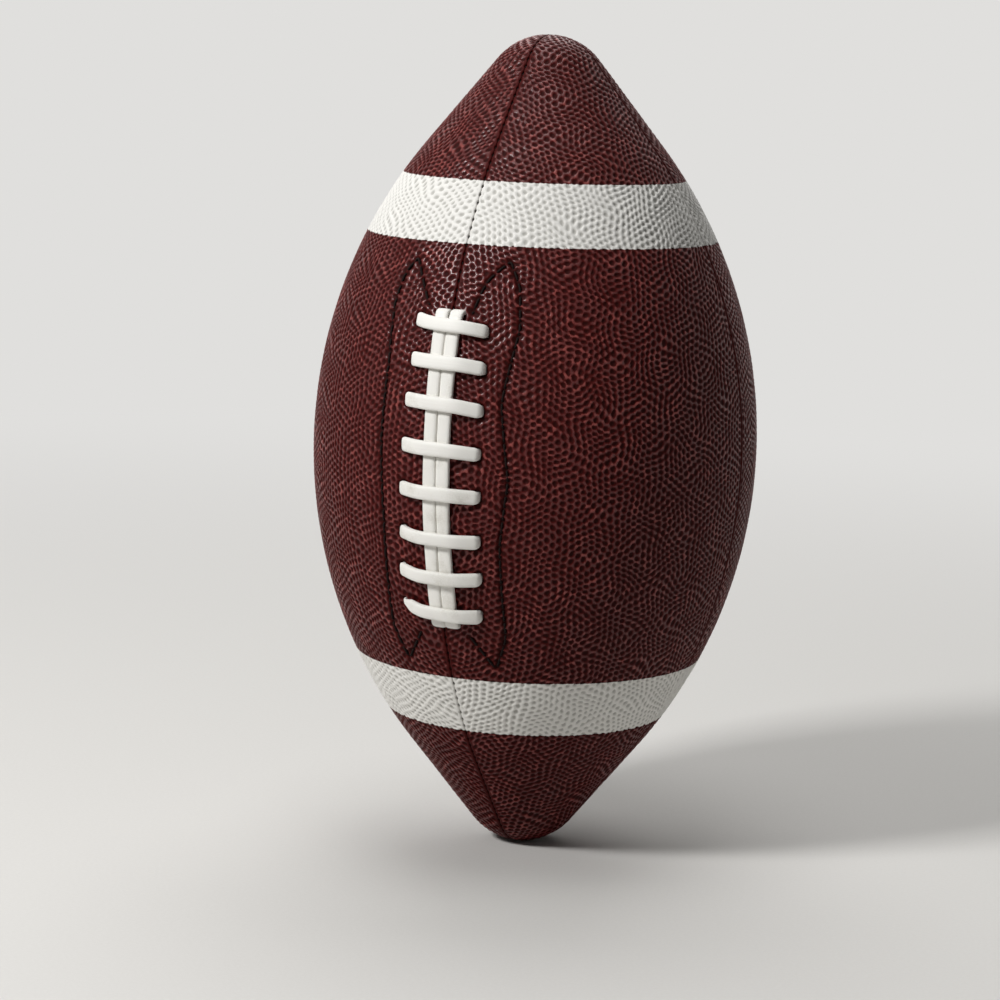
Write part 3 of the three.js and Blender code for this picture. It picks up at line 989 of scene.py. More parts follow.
@dataclass
class Lacing:
    """The lace, its holes and the stitched facings on both sides of it.

    Attributes:
        ball: The ball's outline.
        crossings: From the lowest up.
        width: Of the lace.
        thickness: Of the lace.
        bend: Radius at which the lace turns into a hole.
        sway: Radius of its softer turns.
        gap: Between the two strips.
        seat: Between the lace and what it lies on.
        under: Depth of its inner runs below the surface.
        tail: Tucked in at each end.
        overrun: From the last crossing to the hole at the end of a strip.
        tuck: How much lower a crossing lies where it turns into a hole.
        pinch: Share of its width that it keeps in the hole.
        splay: Share of its width that a strip gains where it turns in.
        drift: How far the strips' middle is off the front seam, at the waist.
        lean: How much further off it is for each step down.
        flare: How far the right strip's upper end leans out.
        arch: Radius at which a crossing comes down off the strips.
        slant: Share of a hole's lift or drop that the crossing has where it leaves the strips.
        step: Longest straight stretch of the lace's route.
        turn_step: Largest turn of one step round a corner, in degrees.
        sides: Points round the lace's section.
        roots: Powers that square its section off, across and through.
        waves: Lengths and starts of the waves by which the lace is uneven.
        wave_twist: How far each of them twists it, in radians.
        wave_spread: By which share each of them widens it.
        wave_lag: Points of the route by which the width follows the twist.
        dive_depth: Depth below the surface at which it is fully pinched.
        dive_run: Height over which it is pinched more and more.
        swell_limit: Largest factor by which it thickens where it is pinched.
        taper_depth: Depth below the surface down to which a crossing tapers.
        facing_end: Height over the waist where the front seam opens for the lacing.
        left_row: Where the left facing's stitches turn, from the front seam and the waist, from below.
        right_row: The same on the right.
        hole_across: Width of a lace hole.
        hole_along: Height of a lace hole.
        hole_power: How square it is, 2 being an oval.
        hole_draw: How deep the cover is drawn in at its edge.
        hole_ease: How far outside it the cover is drawn in, as a share of its size.
    """

    ball: BallShape
    crossings: tuple[Crossing, ...] = (
        Crossing(-46.4, 13.6, 1.7, 12.5, 0.9, left_taper=0.42),
        Crossing(-34.6, 13.2, 0.8, 13.4, 0.2),
        Crossing(-22.0, 12.4, 0.7, 13.5, 0.6),
        Crossing(-7.5, 12.4, 0.3, 13.6, 0.7),
        Crossing(6.4, 12.1, 0.3, 13.3, 1.0),
        Crossing(20.4, 11.9, 0.5, 13.2, 1.4),
        Crossing(32.9, 11.2, 0.6, 12.7, 0.8),
        Crossing(44.1, 11.3, 1.7, 11.9, 0.6),
    )
    width: float = 4.5
    thickness: float = 1.9
    bend: float = 1.3
    sway: float = 5.0
    gap: float = 0.1
    seat: float = 0.15
    under: float = 6.9
    tail: float = 10.0
    overrun: float = 4.9
    tuck: float = 0.5
    pinch: float = 0.76
    splay: float = 0.1
    drift: float = 0.3
    lean: float = 0.018
    flare: float = 0.5
    arch: float = 14.0
    slant: float = 0.25
    step: float = 1.2
    turn_step: float = 10.0
    sides: int = 24
    roots: tuple[float, float] = (0.5, 0.75)
    waves: tuple[tuple[float, float], ...] = ((5.3, 1.0), (8.1, 0.0), (13.7, 2.0))
    wave_twist: float = 0.03
    wave_spread: float = 0.02
    wave_lag: int = 7
    dive_depth: float = 0.6
    dive_run: float = 1.6
    swell_limit: float = 1.15
    taper_depth: float = 3.0
    facing_end: float = 54.6
    left_row: tuple[tuple[float, float], ...] = (
        (8.6, -54.6),
        (15.8, -65.6),
        (20.5, -54.6),
        (20.8, -18.0),
        (22.4, 8.0),
        (22.0, 32.0),
        (23.4, 50.0),
        (21.6, 59.5),
        (17.2, 64.8),
        (9.2, 50.8),
    )
    right_row: tuple[tuple[float, float], ...] = (
        (8.6, -54.6),
        (15.8, -65.6),
        (20.5, -54.6),
        (20.7, -24.0),
        (23.4, -2.5),
        (19.8, 22.0),
        (22.8, 45.0),
        (20.6, 57.5),
        (15.8, 65.6),
        (9.4, 59.2),
        (6.7, 48.9),
    )
    hole_across: float = 2.6
    hole_along: float = 4.1
    hole_power: float = 3.0
    hole_draw: float = 0.5
    hole_ease: float = 0.5

    def facing(self, side: Side) -> Facing:
        """The stitched facing on one side."""
        return Facing(side, self.left_row if side is Side.LEFT else self.right_row, self.ball)

    def relief(self, side: Side) -> Relief:
        """How a lace panel is drawn in: by its facing's stitches, and at each lace hole.

        Args:
            side: Which of the two panels.

        Returns:
            The panel's relief.
        """
        if side is Side.LEFT:
            spots = [(way.left_reach, way.height + way.left_lift, way.left_taper) for way in self.crossings]
        else:
            spots = [(way.right_reach, way.height - way.right_drop, 1.0) for way in self.crossings]
        from_seam, height, taper = np.array(spots).T
        arc = self.ball.arc_at(height)
        across = side.value * (from_seam - self.ball.half_width(arc))
        half = np.outer(taper, [self.hole_across / 2, self.hole_along / 2])
        places = zip(across, arc, *half.T)
        shape = {"power": self.hole_power, "draw": self.hole_draw, "ease": self.hole_ease}
        return Relief(self.facing(side).furrow, tuple(Hole(*place, **shape) for place in places))

    def lace(self) -> bpy.types.Object:
        """Makes the lace: a flat strap along its route, pinched where it dives and never quite even."""
        route, twist = self._lace_route()
        across, height, rise = route.T
        arc = self.ball.arc_at(height)
        path = self.ball.place(FRONT, across, arc, rise)
        sideways = self.ball.place(FRONT, across + 1.0, arc, rise) - path
        upward = self.ball.place(FRONT, across, arc + 1.0, rise) - path
        run = run_along(route)
        waver = sum(np.sin(run / length + start) for length, start in self.waves)
        twist = twist + self.wave_twist * waver
        hint = sideways * np.cos(twist)[:, None] + upward * np.sin(twist)[:, None]
        diving = 1.0 - smooth_step((rise + self.dive_depth) / self.dive_run)
        upright = np.sin(twist) ** 2
        spread = 1.0 + diving * ((1.0 - upright) * self.splay - upright * (1.0 - self.pinch))
        spread = spread * (1.0 + self.wave_spread * np.roll(waver, self.wave_lag))
        swell = np.minimum(2.0 - spread, self.swell_limit)
        taper = np.ones_like(run)
        shows = (upright > 0.5) & (rise > -self.taper_depth)
        for way in self.crossings:
            on_way = shows & (np.abs(height - way.height) < self.width)
            to_left = smooth_step((-across - way.left_reach) / self.width + 1.0)
            taper = np.where(on_way, 1.0 - (1.0 - way.left_taper) * to_left, taper)
        section = self._lace_section() * (np.stack([spread, swell], -1) * taper[:, None])[:, None]
        return build_sweep("lace_strap", path, hint, section)

    def _lace_section(self) -> Array:
        """A flat strap's section: an oval squared off by taking roots of its sine and cosine."""
        waves = circle(self.sides, 0.5).T
        across, through = (squared(wave, root) for wave, root in zip(waves, self.roots))
        return np.stack([self.width / 2 * across, self.thickness / 2 * through], -1)

    def _lace_route(self) -> tuple[Array, Array]:
        """The lace's whole route: tail, left strip, crossings from the lowest up, right strip, tail.

        Returns:
            Points (across from the front seam, height over the waist, rise over the surface), and the turn
            of the lace's width at each of them, from sideways on a strip to upward on a crossing.
        """
        strip, crossing = 0.0, np.pi / 2
        bend, sway, low = self.bend, self.sway, -self.under
        on_cover = self.seat + self.thickness / 2
        over = on_cover + self.thickness + self.seat
        half = (self.width + self.gap) / 2
        crest = half + self.width / 2 + bend
        top = self.crossings[-1].height + self.overrun
        bottom = self.crossings[0].height - self.overrun
        top_off = self.drift - self.lean * top
        bottom_off = self.drift - self.lean * bottom
        stops: list[tuple[float, float, float, float, float]] = [
            (top_off - half, top + self.tail, low, 0.0, strip),
            (top_off - half, top, low, bend, strip),
            (top_off - half, top, on_cover, bend, strip),
            (bottom_off - half, bottom, on_cover, bend, strip),
            (bottom_off - half, bottom, low, bend, strip),
            (bottom_off - half, self.crossings[0].height, low, self.overrun / 2, crossing),
        ]
        for i, way in enumerate(self.crossings):
            left, right = way.height + way.left_lift, way.height - way.right_drop
            if i > 0:
                stops.append((2 * bend + self.seat - way.left_reach, left, low, sway, crossing))
            stops += [
                (-way.left_reach, left, low, bend, crossing),
                (-way.left_reach, left, on_cover - self.tuck, bend, crossing),
                (-crest, way.height + self.slant * way.left_lift, over, self.arch, crossing),
                (crest, way.height - self.slant * way.right_drop, over, self.arch, crossing),
                (way.right_reach, right, on_cover - self.tuck, bend, crossing),
                (way.right_reach, right, low, bend, crossing),
            ]
            if i < len(self.crossings) - 1:
                stops.append((way.right_reach - 2 * bend - self.seat, right, low, sway, crossing))
        stops += [
            (top_off + half, self.crossings[-1].height, low, self.overrun / 2, strip),
            (top_off + half + self.flare, top, low, bend, strip),
            (top_off + half + self.flare, top, on_cover, bend, strip),
            (top_off + half, self.crossings[-1].height, on_cover, sway, strip),
            (bottom_off + half, bottom, on_cover, bend, strip),
            (bottom_off + half, bottom, low, bend, strip),
            (bottom_off + half, bottom - self.tail, low, 0.0, strip),
        ]
        table = np.array(stops)
        return round_route(table[:, :3], table[:, 3], table[:, 4], self.step, self.turn_step)


# Valve


@dataclass
class Valve:
    """The rubber valve in the middle of a back panel.

    Attributes:
        ball: The ball's outline.
        direction: In degrees from +X.
        head: Diameter of the plug's head.
        stem: Diameter of its stem.
        stem_length: Below the head.
        recess: Of its face below the cover.
        seat: Depth below the cover where the head rests.
        needle: Diameter of the needle's way in.
        clearance: Between the head and the cover round it.
        rim: Rounding of the head's edge.
        rim_points: Points of that rounding.
        groove: Depth of the ring in the head's face.
        groove_from: Share of the head's radius where the ring begins.
        groove_points: Points across the ring.
        funnel: How deep the face falls from the ring to the needle's way in.
        funnel_points: Points down that fall.
        needle_depth: Depth of that way in below the face.
        chamfer: Of the stem's end.
        draw: How deep the cover is drawn in round the head.
        ease: How far outside the head it is drawn in, as a share of the head's size.
        hole_sides: Points round the cover's hole.
        sides: Points round the plug.
    """

    ball: BallShape
    direction: float = 45.0
    head: float = 6.6
    stem: float = 4.0
    stem_length: float = 7.0
    recess: float = 0.3
    seat: float = 1.7
    needle: float = 1.3
    clearance: float = 0.2
    rim: float = 0.35
    rim_points: int = 7
    groove: float = 0.25
    groove_from: float = 0.42
    groove_points: int = 13
    funnel: float = 0.3
    funnel_points: int = 5
    needle_depth: float = 2.2
    chamfer: float = 0.4
    draw: float = 0.35
    ease: float = 0.25
    hole_sides: int = 72
    sides: int = 64

    def relief(self) -> Relief:
        """The round hole in the cover that the head fills, with a slightly sunken rim."""
        radius = self.head / 2 + self.clearance
        hole = Hole(0.0, 0.0, radius, radius, 2.0, self.draw, self.ease, self.hole_sides)
        return Relief(level, (hole,))

    def build(self) -> bpy.types.Object:
        """Makes the plug by turning its profile round the valve's axis."""
        head, stem, needle, rim = self.head / 2, self.stem / 2, self.needle / 2, self.rim
        floor = self.recess - self.seat
        end = floor - self.stem_length
        bend = np.radians(np.linspace(0.0, 90.0, self.rim_points))
        round_rim = np.stack([head - rim + rim * np.sin(bend), -rim + rim * np.cos(bend)], -1)
        inner, outer = self.groove_from * head, head - rim
        share = np.linspace(0.0, 1.0, self.groove_points)
        groove = np.stack([inner + (outer - inner) * share, -self.groove * np.sin(np.pi * share)], -1)
        share = np.linspace(0.0, 1.0, self.funnel_points)
        funnel = np.stack([needle + (inner - needle) * share, -self.funnel * (1.0 - share) ** 2], -1)
        profile = np.concatenate(
            [
                [[0.0, end], [stem - self.chamfer, end], [stem, end + self.chamfer]],
                [[stem, floor], [head, floor]],
                round_rim[::-1],
                groove[::-1][1:],
                funnel[::-1][1:],
                [[needle, -self.needle_depth], [0.0, -self.needle_depth]],
            ]
        )
        axis = np.array([np.cos(np.radians(self.direction)), np.sin(np.radians(self.direction)), 0.0])
        face = axis * (self.ball.diameter / 2 - self.recess) + [0.0, 0.0, self.ball.length / 2]
        around = circle(self.sides) @ [[-axis[1], axis[0], 0.0], [0.0, 0.0, 1.0]]
        rings = face + profile[:, None, 1:] * axis + profile[:, None, :1] * around
        parts = MeshParts()
        numbers = parts.add_points(rings * MM)
        parts.add_faces(numbers.ravel()[grid_faces(len(profile), self.sides, ring=True)])
        return parts.build("valve_needle_plug", weld=True)


# Finishes


def paint(code: str) -> tuple[float, float, float, float]:
    """Turns a colour as it is seen, such as #808080, into the linear light that shaders use."""
    seen = np.array([int(code[i : i + 2], 16) / 255 for i in (1, 3, 5)])
    linear = np.where(seen <= 0.04045, seen / 12.92, ((seen + 0.055) / 1.055) ** 2.4)
    return (*(float(part) for part in linear), 1.0)


@dataclass(frozen=True)
class Mottle:
    """Soft noise in a finish.

    Attributes:
        size: Of its features, in millimetres.
        detail: How many finer layers it has.
        roughness: How strong those are.
    """

    size: float
    detail: float = 2.0
    roughness: float = 0.5


class Wire:
    """A value that flows between shader nodes; Python's operators add Math nodes."""

    def __init__(self, sheet: NodeSheet, socket: bpy.types.NodeSocket) -> None:
        """Keeps the socket and the sheet that it is on."""
        self.sheet = sheet
        self.socket = socket

    def __add__(self, other: Wire | float) -> Wire:
        """Adds."""
        return self.sheet.math("ADD", self, other)

    def __radd__(self, other: float) -> Wire:
        """Adds to a number."""
        return self.sheet.math("ADD", other, self)

    def __sub__(self, other: Wire | float) -> Wire:
        """Takes away."""
        return self.sheet.math("SUBTRACT", self, other)

    def __rsub__(self, other: float) -> Wire:
        """Takes away from a number."""
        return self.sheet.math("SUBTRACT", other, self)

    def __mul__(self, other: Wire | float) -> Wire:
        """Multiplies."""
        return self.sheet.math("MULTIPLY", self, other)

    def __rmul__(self, other: float) -> Wire:
        """Multiplies a number."""
        return self.sheet.math("MULTIPLY", other, self)

    def __truediv__(self, other: Wire | float) -> Wire:
        """Divides."""
        return self.sheet.math("DIVIDE", self, other)

    def __abs__(self) -> Wire:
        """Drops the sign."""
        return self.sheet.math("ABSOLUTE", self)

    def swing(self, amount: float) -> Wire:
        """Makes a number from 0 to 1 swing about 0, over an amount in all."""
        return (self - 0.5) * amount


class NodeSheet:
    """The shader nodes of one material, or of the world."""

    def __init__(self, owner: str | bpy.types.World) -> None:
        """Starts an empty sheet, in a new material if it is given a name."""
        self.owner = bpy.data.materials.new(owner) if isinstance(owner, str) else owner
        self.owner.use_nodes = True
        self.tree = self.owner.node_tree
        self.tree.nodes.clear()

    def node(
        self,
        kind: str,
        settings: dict[str, Any] | None = None,
        inputs: dict[str | int, Any] | None = None,
        output: str | int | None = 0,
    ) -> Wire | None:
        """Adds a node.

        Args:
            kind: The node's type.
            settings: Its settings, which are set first.
            inputs: Values or wires for its sockets, by name or number.
            output: The socket that the result leaves by, if any.

        Returns:
            The wire from that socket.
        """
        node = self.tree.nodes.new(kind)
        for name, value in (settings or {}).items():
            setattr(node, name, value)
        for name, value in (inputs or {}).items():
            if isinstance(value, Wire):
                self.tree.links.new(value.socket, node.inputs[name])
            else:
                node.inputs[name].default_value = value
        return None if output is None else Wire(self, node.outputs[output])

    def math(self, operation: str, *values: Wire | float) -> Wire:
        """Adds a Math node."""
        return self.node("ShaderNodeMath", {"operation": operation}, dict(enumerate(values)))

    def clamp(self, value: Wire) -> Wire:
        """Keeps a number between 0 and 1."""
        return self.node("ShaderNodeClamp", None, {"Value": value})

    def ease(self, value: Wire, low: float, high: float) -> Wire:
        """Eases from 0 at low to 1 at high."""
        inputs = {"Value": value, "From Min": low, "From Max": high}
        return self.node("ShaderNodeMapRange", {"interpolation_type": "SMOOTHSTEP"}, inputs)

    def mix(self, first: Any, second: Any, share: Wire) -> Wire:
        """Mixes two colours."""
        return self.node("ShaderNodeMix", {"data_type": "RGBA"}, {0: share, 6: first, 7: second}, 2)

    def key(self, name: str) -> Wire:
        """Reads one of the mesh's own numbers."""
        return self.node("ShaderNodeAttribute", {"attribute_name": name}, None, "Fac")

    def place(self) -> Wire:
        """Reads the place on the object, in metres."""
        return self.node("ShaderNodeTexCoord", None, None, "Object")

    def parts(self, vector: Wire) -> tuple[Wire, Wire, Wire]:
        """Splits a vector into its three numbers."""
        split = self.node("ShaderNodeSeparateXYZ", None, {0: vector}).socket.node
        return tuple(Wire(self, socket) for socket in split.outputs)

    def sweep_place(self) -> tuple[Wire, Wire]:
        """Reads the place on a thread or the lace: millimetres along it, and a share of the way round."""
        return self.parts(self.node("ShaderNodeUVMap", {"uv_map": PATTERN_MAP}))[:2]

    def noise(self, place: Wire, mottle: Mottle) -> Wire:
        """Soft noise from 0 to 1."""
        inputs = {"Vector": place, "Scale": 1.0 / (mottle.size * MM)}
        inputs |= {"Detail": mottle.detail, "Roughness": mottle.roughness}
        return self.node("ShaderNodeTexNoise", None, inputs)

    def bump(self, height: Wire, depth: float, strength: float) -> Wire:
        """Tilts the surface by a height from 0 to 1 that stands for a depth in millimetres."""
        inputs = {"Height": height, "Distance": depth * MM, "Strength": strength}
        return self.node("ShaderNodeBump", None, inputs)

    def seen(self) -> Wire:
        """1 for rays from the camera, in reflections and through glass, and 0 for light on things."""
        rays = self.node("ShaderNodeLightPath").socket.node.outputs
        names = ("Is Camera Ray", "Is Glossy Ray", "Is Transmission Ray")
        camera, glossy, through = (Wire(self, rays[name]) for name in names)
        return self.clamp(camera + glossy + through)

    def finish(
        self,
        base: Any,
        roughness: Any,
        normal: Wire | None = None,
        over: tuple[Wire, Wire] | None = None,
        **others: Any,
    ) -> bpy.types.Material:
        """Ends the sheet in a shader.

        Args:
            base: Colour, or a wire.
            roughness: Number, or a wire.
            normal: Wire of a bump.
            over: A share, and another shader that covers this one by that share.
            others: Numbers or wires for more sockets, by the sockets' names with _ for a space.

        Returns:
            The material.
        """
        inputs: dict[str | int, Any] = {"Base Color": base, "Roughness": roughness}
        if normal is not None:
            inputs["Normal"] = normal
        inputs |= {name.replace("_", " "): value for name, value in others.items()}
        shader = self.node("ShaderNodeBsdfPrincipled", None, inputs)
        if over is not None:
            shader = self.node("ShaderNodeMixShader", None, {0: over[0], 1: shader, 2: over[1]})
        self.node("ShaderNodeOutputMaterial", None, {"Surface": shader}, None)
        return self.owner


@dataclass(frozen=True)
class PebbledCover:
    """Red-brown pebbled composite leather with two white bands painted round it.

    Attributes:
        leather: Colour of the bumps' sides.
        sheen_and_wear: Colour of their tops, partly rub wear and partly a painted sheen.
        pit_shade: Painted shade in the valleys.
        band: The painted bands' white.
        band_shade_and_scuff: Painted shade in their valleys, and the grey of their scuffs.
        waist: Height of the waist over the lower tip.
        band_from: From the waist to a band's inner edge.
        band_to: From the waist to its outer edge.
        band_blur: Half width of the blur at both edges.
        lit: Crowns between which the painted shade of the pits turns into the leather's colour.
        sheen_and_wear_crowns: Uneven crowns between which the leather turns into the painted sheen and wear
            of its tops.
        band_lit: Crowns between which the paint comes up from its painted shade to its white.
        roughness: Of the leather in the valleys.
        specular: Strength of the leather's own gloss.
        polish: Strength of the gloss on the tops.
        band_polish: The same on the paint.
        polished: Crowns between which that gloss sets in.
        polish_roughness: Of that gloss.
        polish_index: Its index of refraction.
        cloud: Broad changes of the painted sheen and wear, and of the bands' scuffs.
        fleck: The leather's fine flecks.
        glint: Painted sheen and wear that differ from bump to bump.
        grit: Its finest roughness.
    """

    leather: str = "#4d100e"
    sheen_and_wear: str = "#823a35"
    pit_shade: str = "#2b0a08"
    band: str = "#e6e4df"
    band_shade_and_scuff: str = "#b0aea8"
    waist: float = 136.0
    band_from: float = 70.0
    band_to: float = 89.5
    band_blur: float = 0.12
    lit: tuple[float, float] = (0.1, 0.85)
    sheen_and_wear_crowns: tuple[float, float] = (0.75, 1.2)
    band_lit: tuple[float, float] = (-0.1, 0.65)
    roughness: float = 0.62
    specular: float = 0.06
    polish: float = 0.52
    band_polish: float = 0.2
    polished: tuple[float, float] = (0.45, 1.0)
    polish_roughness: float = 0.29
    polish_index: float = 1.63
    cloud: Mottle = Mottle(34.0, 3.0)
    fleck: Mottle = Mottle(0.7, 2.0, 0.6)
    glint: Mottle = Mottle(2.4, 1.0)
    grit: Mottle = Mottle(0.32, 3.0, 0.6)

    def material(self) -> bpy.types.Material:
        """Mixes the leather, its painted shade and painted sheen by the pebbles' crowns, then lays the
        bands over it.
        """
        sheet = NodeSheet("pebbled_cover")
        place = sheet.place()
        crown = sheet.key("crown")
        mottles = (self.cloud, self.fleck, self.glint, self.grit)
        cloud, fleck, glint, grit = (sheet.noise(place, mottle) for mottle in mottles)
        # Painted sheen with rub wear on the tops, uneven from bump to bump
        uneven = crown + fleck.swing(0.4) + glint.swing(1.3) + cloud.swing(0.4)
        # Painted shade: the pits' colour in the valleys, where the crown is low
        leather = sheet.mix(paint(self.pit_shade), paint(self.leather), sheet.ease(crown, *self.lit))
        leather = sheet.mix(leather, paint(self.sheen_and_wear), sheet.ease(uneven, *self.sheen_and_wear_crowns))

        from_waist = abs(sheet.parts(place)[2] / MM - self.waist)
        ragged = fleck.swing(0.5) + crown.swing(0.3)
        past_inner = sheet.ease(from_waist - self.band_from + ragged, -self.band_blur, self.band_blur)
        short_of_outer = sheet.ease(self.band_to - from_waist + ragged, -self.band_blur, self.band_blur)
        banded = past_inner * short_of_outer
        scuff = sheet.clamp((fleck - 0.62) * 2.0 + (cloud - 0.55)) * 0.5
        # The paint gets painted shade in its valleys and, in clouds, scuffs of the same grey
        white = sheet.mix(paint(self.band_shade_and_scuff), paint(self.band), sheet.ease(crown, *self.band_lit))
        white = sheet.mix(white, paint(self.band_shade_and_scuff), scuff)
        polish = self.polish + banded * (self.band_polish - self.polish)
        return sheet.finish(
            sheet.mix(leather, white, banded),
            self.roughness - sheet.clamp(crown) * 0.12 + fleck.swing(0.2),
            sheet.bump(grit + fleck, depth=0.05, strength=0.5),
            Specular_IOR_Level=self.specular,
            Coat_Weight=sheet.ease(crown, *self.polished) * polish,
            Coat_Roughness=self.polish_roughness,
            Coat_IOR=self.polish_index,
        )


@dataclass(frozen=True)
class LaceVinyl:
    """Soft white vinyl with fine moulded ribs along its length.

    Attributes:
        white: Its own colour.
        soiled: Its colour in the soiled places.
        soil: Values of the cloud between which the soiling sets in.
        roughness: Where it is smoothest.
        specular: Strength of its gloss.
        ribs: How many there are round the lace.
        cloud: The soiled places.
        speck: Its fine roughness.
    """

    white: str = "#edebe5"
    soiled: str = "#cfcbc1"
    soil: tuple[float, float] = (0.5, 0.95)
    roughness: float = 0.44
    specular: float = 0.45
    ribs: float = 40.0
    cloud: Mottle = Mottle(9.0, 3.0)
    speck: Mottle = Mottle(0.5)

    def material(self) -> bpy.types.Material:
        """Soils the white a little in clouds, and ribs the surface along the lace."""
        sheet = NodeSheet("lace_vinyl")
        place = sheet.place()
        cloud, speck = sheet.noise(place, self.cloud), sheet.noise(place, self.speck)
        soil = sheet.ease(cloud + speck.swing(0.3), *self.soil)
        base = sheet.mix(paint(self.white), paint(self.soiled), soil)
        _, around = sheet.sweep_place()
        rib = sheet.math("SINE", around * (self.ribs * 2.0 * np.pi))
        normal = sheet.bump(rib * 0.3 + speck, depth=0.05, strength=0.5)
        return sheet.finish(base, self.roughness + speck * 0.14, normal, Specular_IOR_Level=self.specular)


@dataclass(frozen=True)
class WaxedThread:
    """Dark waxed thread laid up from strands.

    Attributes:
        strand_shade: Painted shade between the strands.
        light: Painted light on top of them.
        strands: How many there are.
        lay: Length of one turn of a strand.
        roughness: Where it is smoothest.
        specular: Strength of its gloss.
        fuzz: Its loose fibres.
    """

    strand_shade: str = "#0e0807"
    light: str = "#241613"
    strands: float = 2.0
    lay: float = 1.3
    roughness: float = 0.6
    specular: float = 0.1
    fuzz: Mottle = Mottle(0.3, 3.0)

    def material(self) -> bpy.types.Material:
        """Winds painted shade between the strands and painted light on their tops round the thread, by its
        length and turn.
        """
        sheet = NodeSheet("waxed_thread")
        along, around = sheet.sweep_place()
        turn = (along / self.lay + around) * (self.strands * 2.0 * np.pi)
        strand = sheet.math("SINE", turn) * 0.5 + 0.5
        fuzz = sheet.noise(sheet.place(), self.fuzz)
        # Painted shade between the strands and painted light on their tops, broken up by the fuzz
        base = sheet.mix(paint(self.strand_shade), paint(self.light), strand * fuzz)
        normal = sheet.bump(strand, depth=0.12, strength=0.8)
        return sheet.finish(base, self.roughness + fuzz * 0.2, normal, Specular_IOR_Level=self.specular)


@dataclass(frozen=True)
class MouldedRubber:
    """Black rubber with a dusty bloom.

    Attributes:
        name: Of the material.
        black: Colour of the rubber.
        bloom: Colour where dust lies on it.
        bloomed: Values of the dust between which the bloom sets in.
        roughness: Where it is smoothest.
        dust: The dusty places.
        skin: Its fine matt skin.
    """

    name: str
    black: str = "#131313"
    bloom: str = "#2b2a29"
    bloomed: tuple[float, float] = (0.4, 0.8)
    roughness: float = 0.5
    dust: Mottle = Mottle(3.0, 4.0, 0.6)
    skin: Mottle = Mottle(0.25)

    def material(self) -> bpy.types.Material:
        """Dusts the black in clouds and gives it a fine matt skin."""
        sheet = NodeSheet(self.name)
        place = sheet.place()
        dust, skin = sheet.noise(place, self.dust), sheet.noise(place, self.skin)
        base = sheet.mix(paint(self.black), paint(self.bloom), sheet.ease(dust, *self.bloomed))
        normal = sheet.bump(skin, depth=0.03, strength=0.4)
        return sheet.finish(base, self.roughness + dust * 0.2, normal)


@dataclass(frozen=True)
class WovenLining:
    """Undyed cotton laminate with a plain weave.

    Attributes:
        yarn: Colour on top of the yarns.
        shadow: Colour between them.
        pair: Width of two yarns side by side.
        roughness: On average.
        slub: The yarns' unevenness.
    """

    yarn: str = "#cfc6b2"
    shadow: str = "#8f866f"
    pair: float = 0.9
    roughness: float = 0.88
    slub: Mottle = Mottle(4.0, 3.0)

    def material(self) -> bpy.types.Material:
        """Weaves two sets of yarns, upright and level, that pass over each other in turn."""
        sheet = NodeSheet("woven_lining")
        place = sheet.place()
        x, y, z = sheet.parts(place)
        turn = 2.0 * np.pi / (self.pair * MM)
        warp = sheet.math("SINE", (x + y) * turn)
        weft = sheet.math("SINE", z * turn)
        weave = sheet.math("SINE", (x + y) * (turn / 2)) * sheet.math("SINE", z * (turn / 2))
        height = abs(warp) * 0.35 + abs(weft) * 0.35 + weave * 0.3 + 0.2
        slub = sheet.noise(place, self.slub)
        base = sheet.mix(paint(self.shadow), paint(self.yarn), sheet.clamp(height + slub.swing(0.6)))
        normal = sheet.bump(height, depth=0.2, strength=0.8)
        return sheet.finish(base, self.roughness + slub.swing(0.1), normal)


@dataclass(frozen=True)
class BackingLeather:
    """Plain split leather with creases and pores.

    Attributes:
        name: Of the material.
        face: Colour of its face.
        crease: Painted shade in its creases.
        crease_size: From one crease to the next.
        crease_width: Of a crease, as a share of that.
        roughness: On average.
        fibre: Its pores and fibres.
        cloud: Broad changes of its colour.
    """

    name: str
    face: str
    crease: str
    crease_size: float = 1.6
    crease_width: float = 0.22
    roughness: float = 0.8
    fibre: Mottle = Mottle(0.5, 4.0, 0.65)
    cloud: Mottle = Mottle(14.0)

    def material(self) -> bpy.types.Material:
        """Cracks the face along the edges of small cells, with painted shade in the cracks, and pits it
        with pores.
        """
        sheet = NodeSheet(self.name)
        place = sheet.place()
        inputs = {"Vector": place, "Scale": 1.0 / (self.crease_size * MM), "Randomness": 1.0}
        cells = sheet.node("ShaderNodeTexVoronoi", {"feature": "DISTANCE_TO_EDGE"}, inputs)
        fibre, cloud = sheet.noise(place, self.fibre), sheet.noise(place, self.cloud)
        open_face = sheet.ease(cells, 0.0, self.crease_width)
        share = sheet.clamp(open_face * 0.8 + fibre.swing(0.5) + cloud.swing(0.4))
        # Painted shade in the creases, broken up by the fibre and the cloud
        base = sheet.mix(paint(self.crease), paint(self.face), share)
        normal = sheet.bump(open_face * 0.5 + fibre, depth=0.15, strength=0.6)
        return sheet.finish(base, self.roughness + fibre.swing(0.2), normal)


# Studio


@dataclass(frozen=True)
class SoftBox:
    """A square lamp that faces the ball's middle.

    Attributes:
        name: Of the lamp.
        azimuth: Direction that it stands in, in degrees from the front towards +X.
        elevation: Above the waist, in degrees.
        distance: From the ball's middle, in metres.
        size: Of its face, in metres.
        power: In watts.
    """

    name: str
    azimuth: float
    elevation: float
    distance: float
    size: float
    power: float


def stand_off(azimuth: float, elevation: float) -> Vector:
    """The direction from the ball to a stand, by its azimuth from the front and its elevation."""
    turn, lift = np.radians(azimuth), np.radians(elevation)
    return Vector((np.sin(turn) * np.cos(lift), -np.cos(turn) * np.cos(lift), np.sin(lift)))


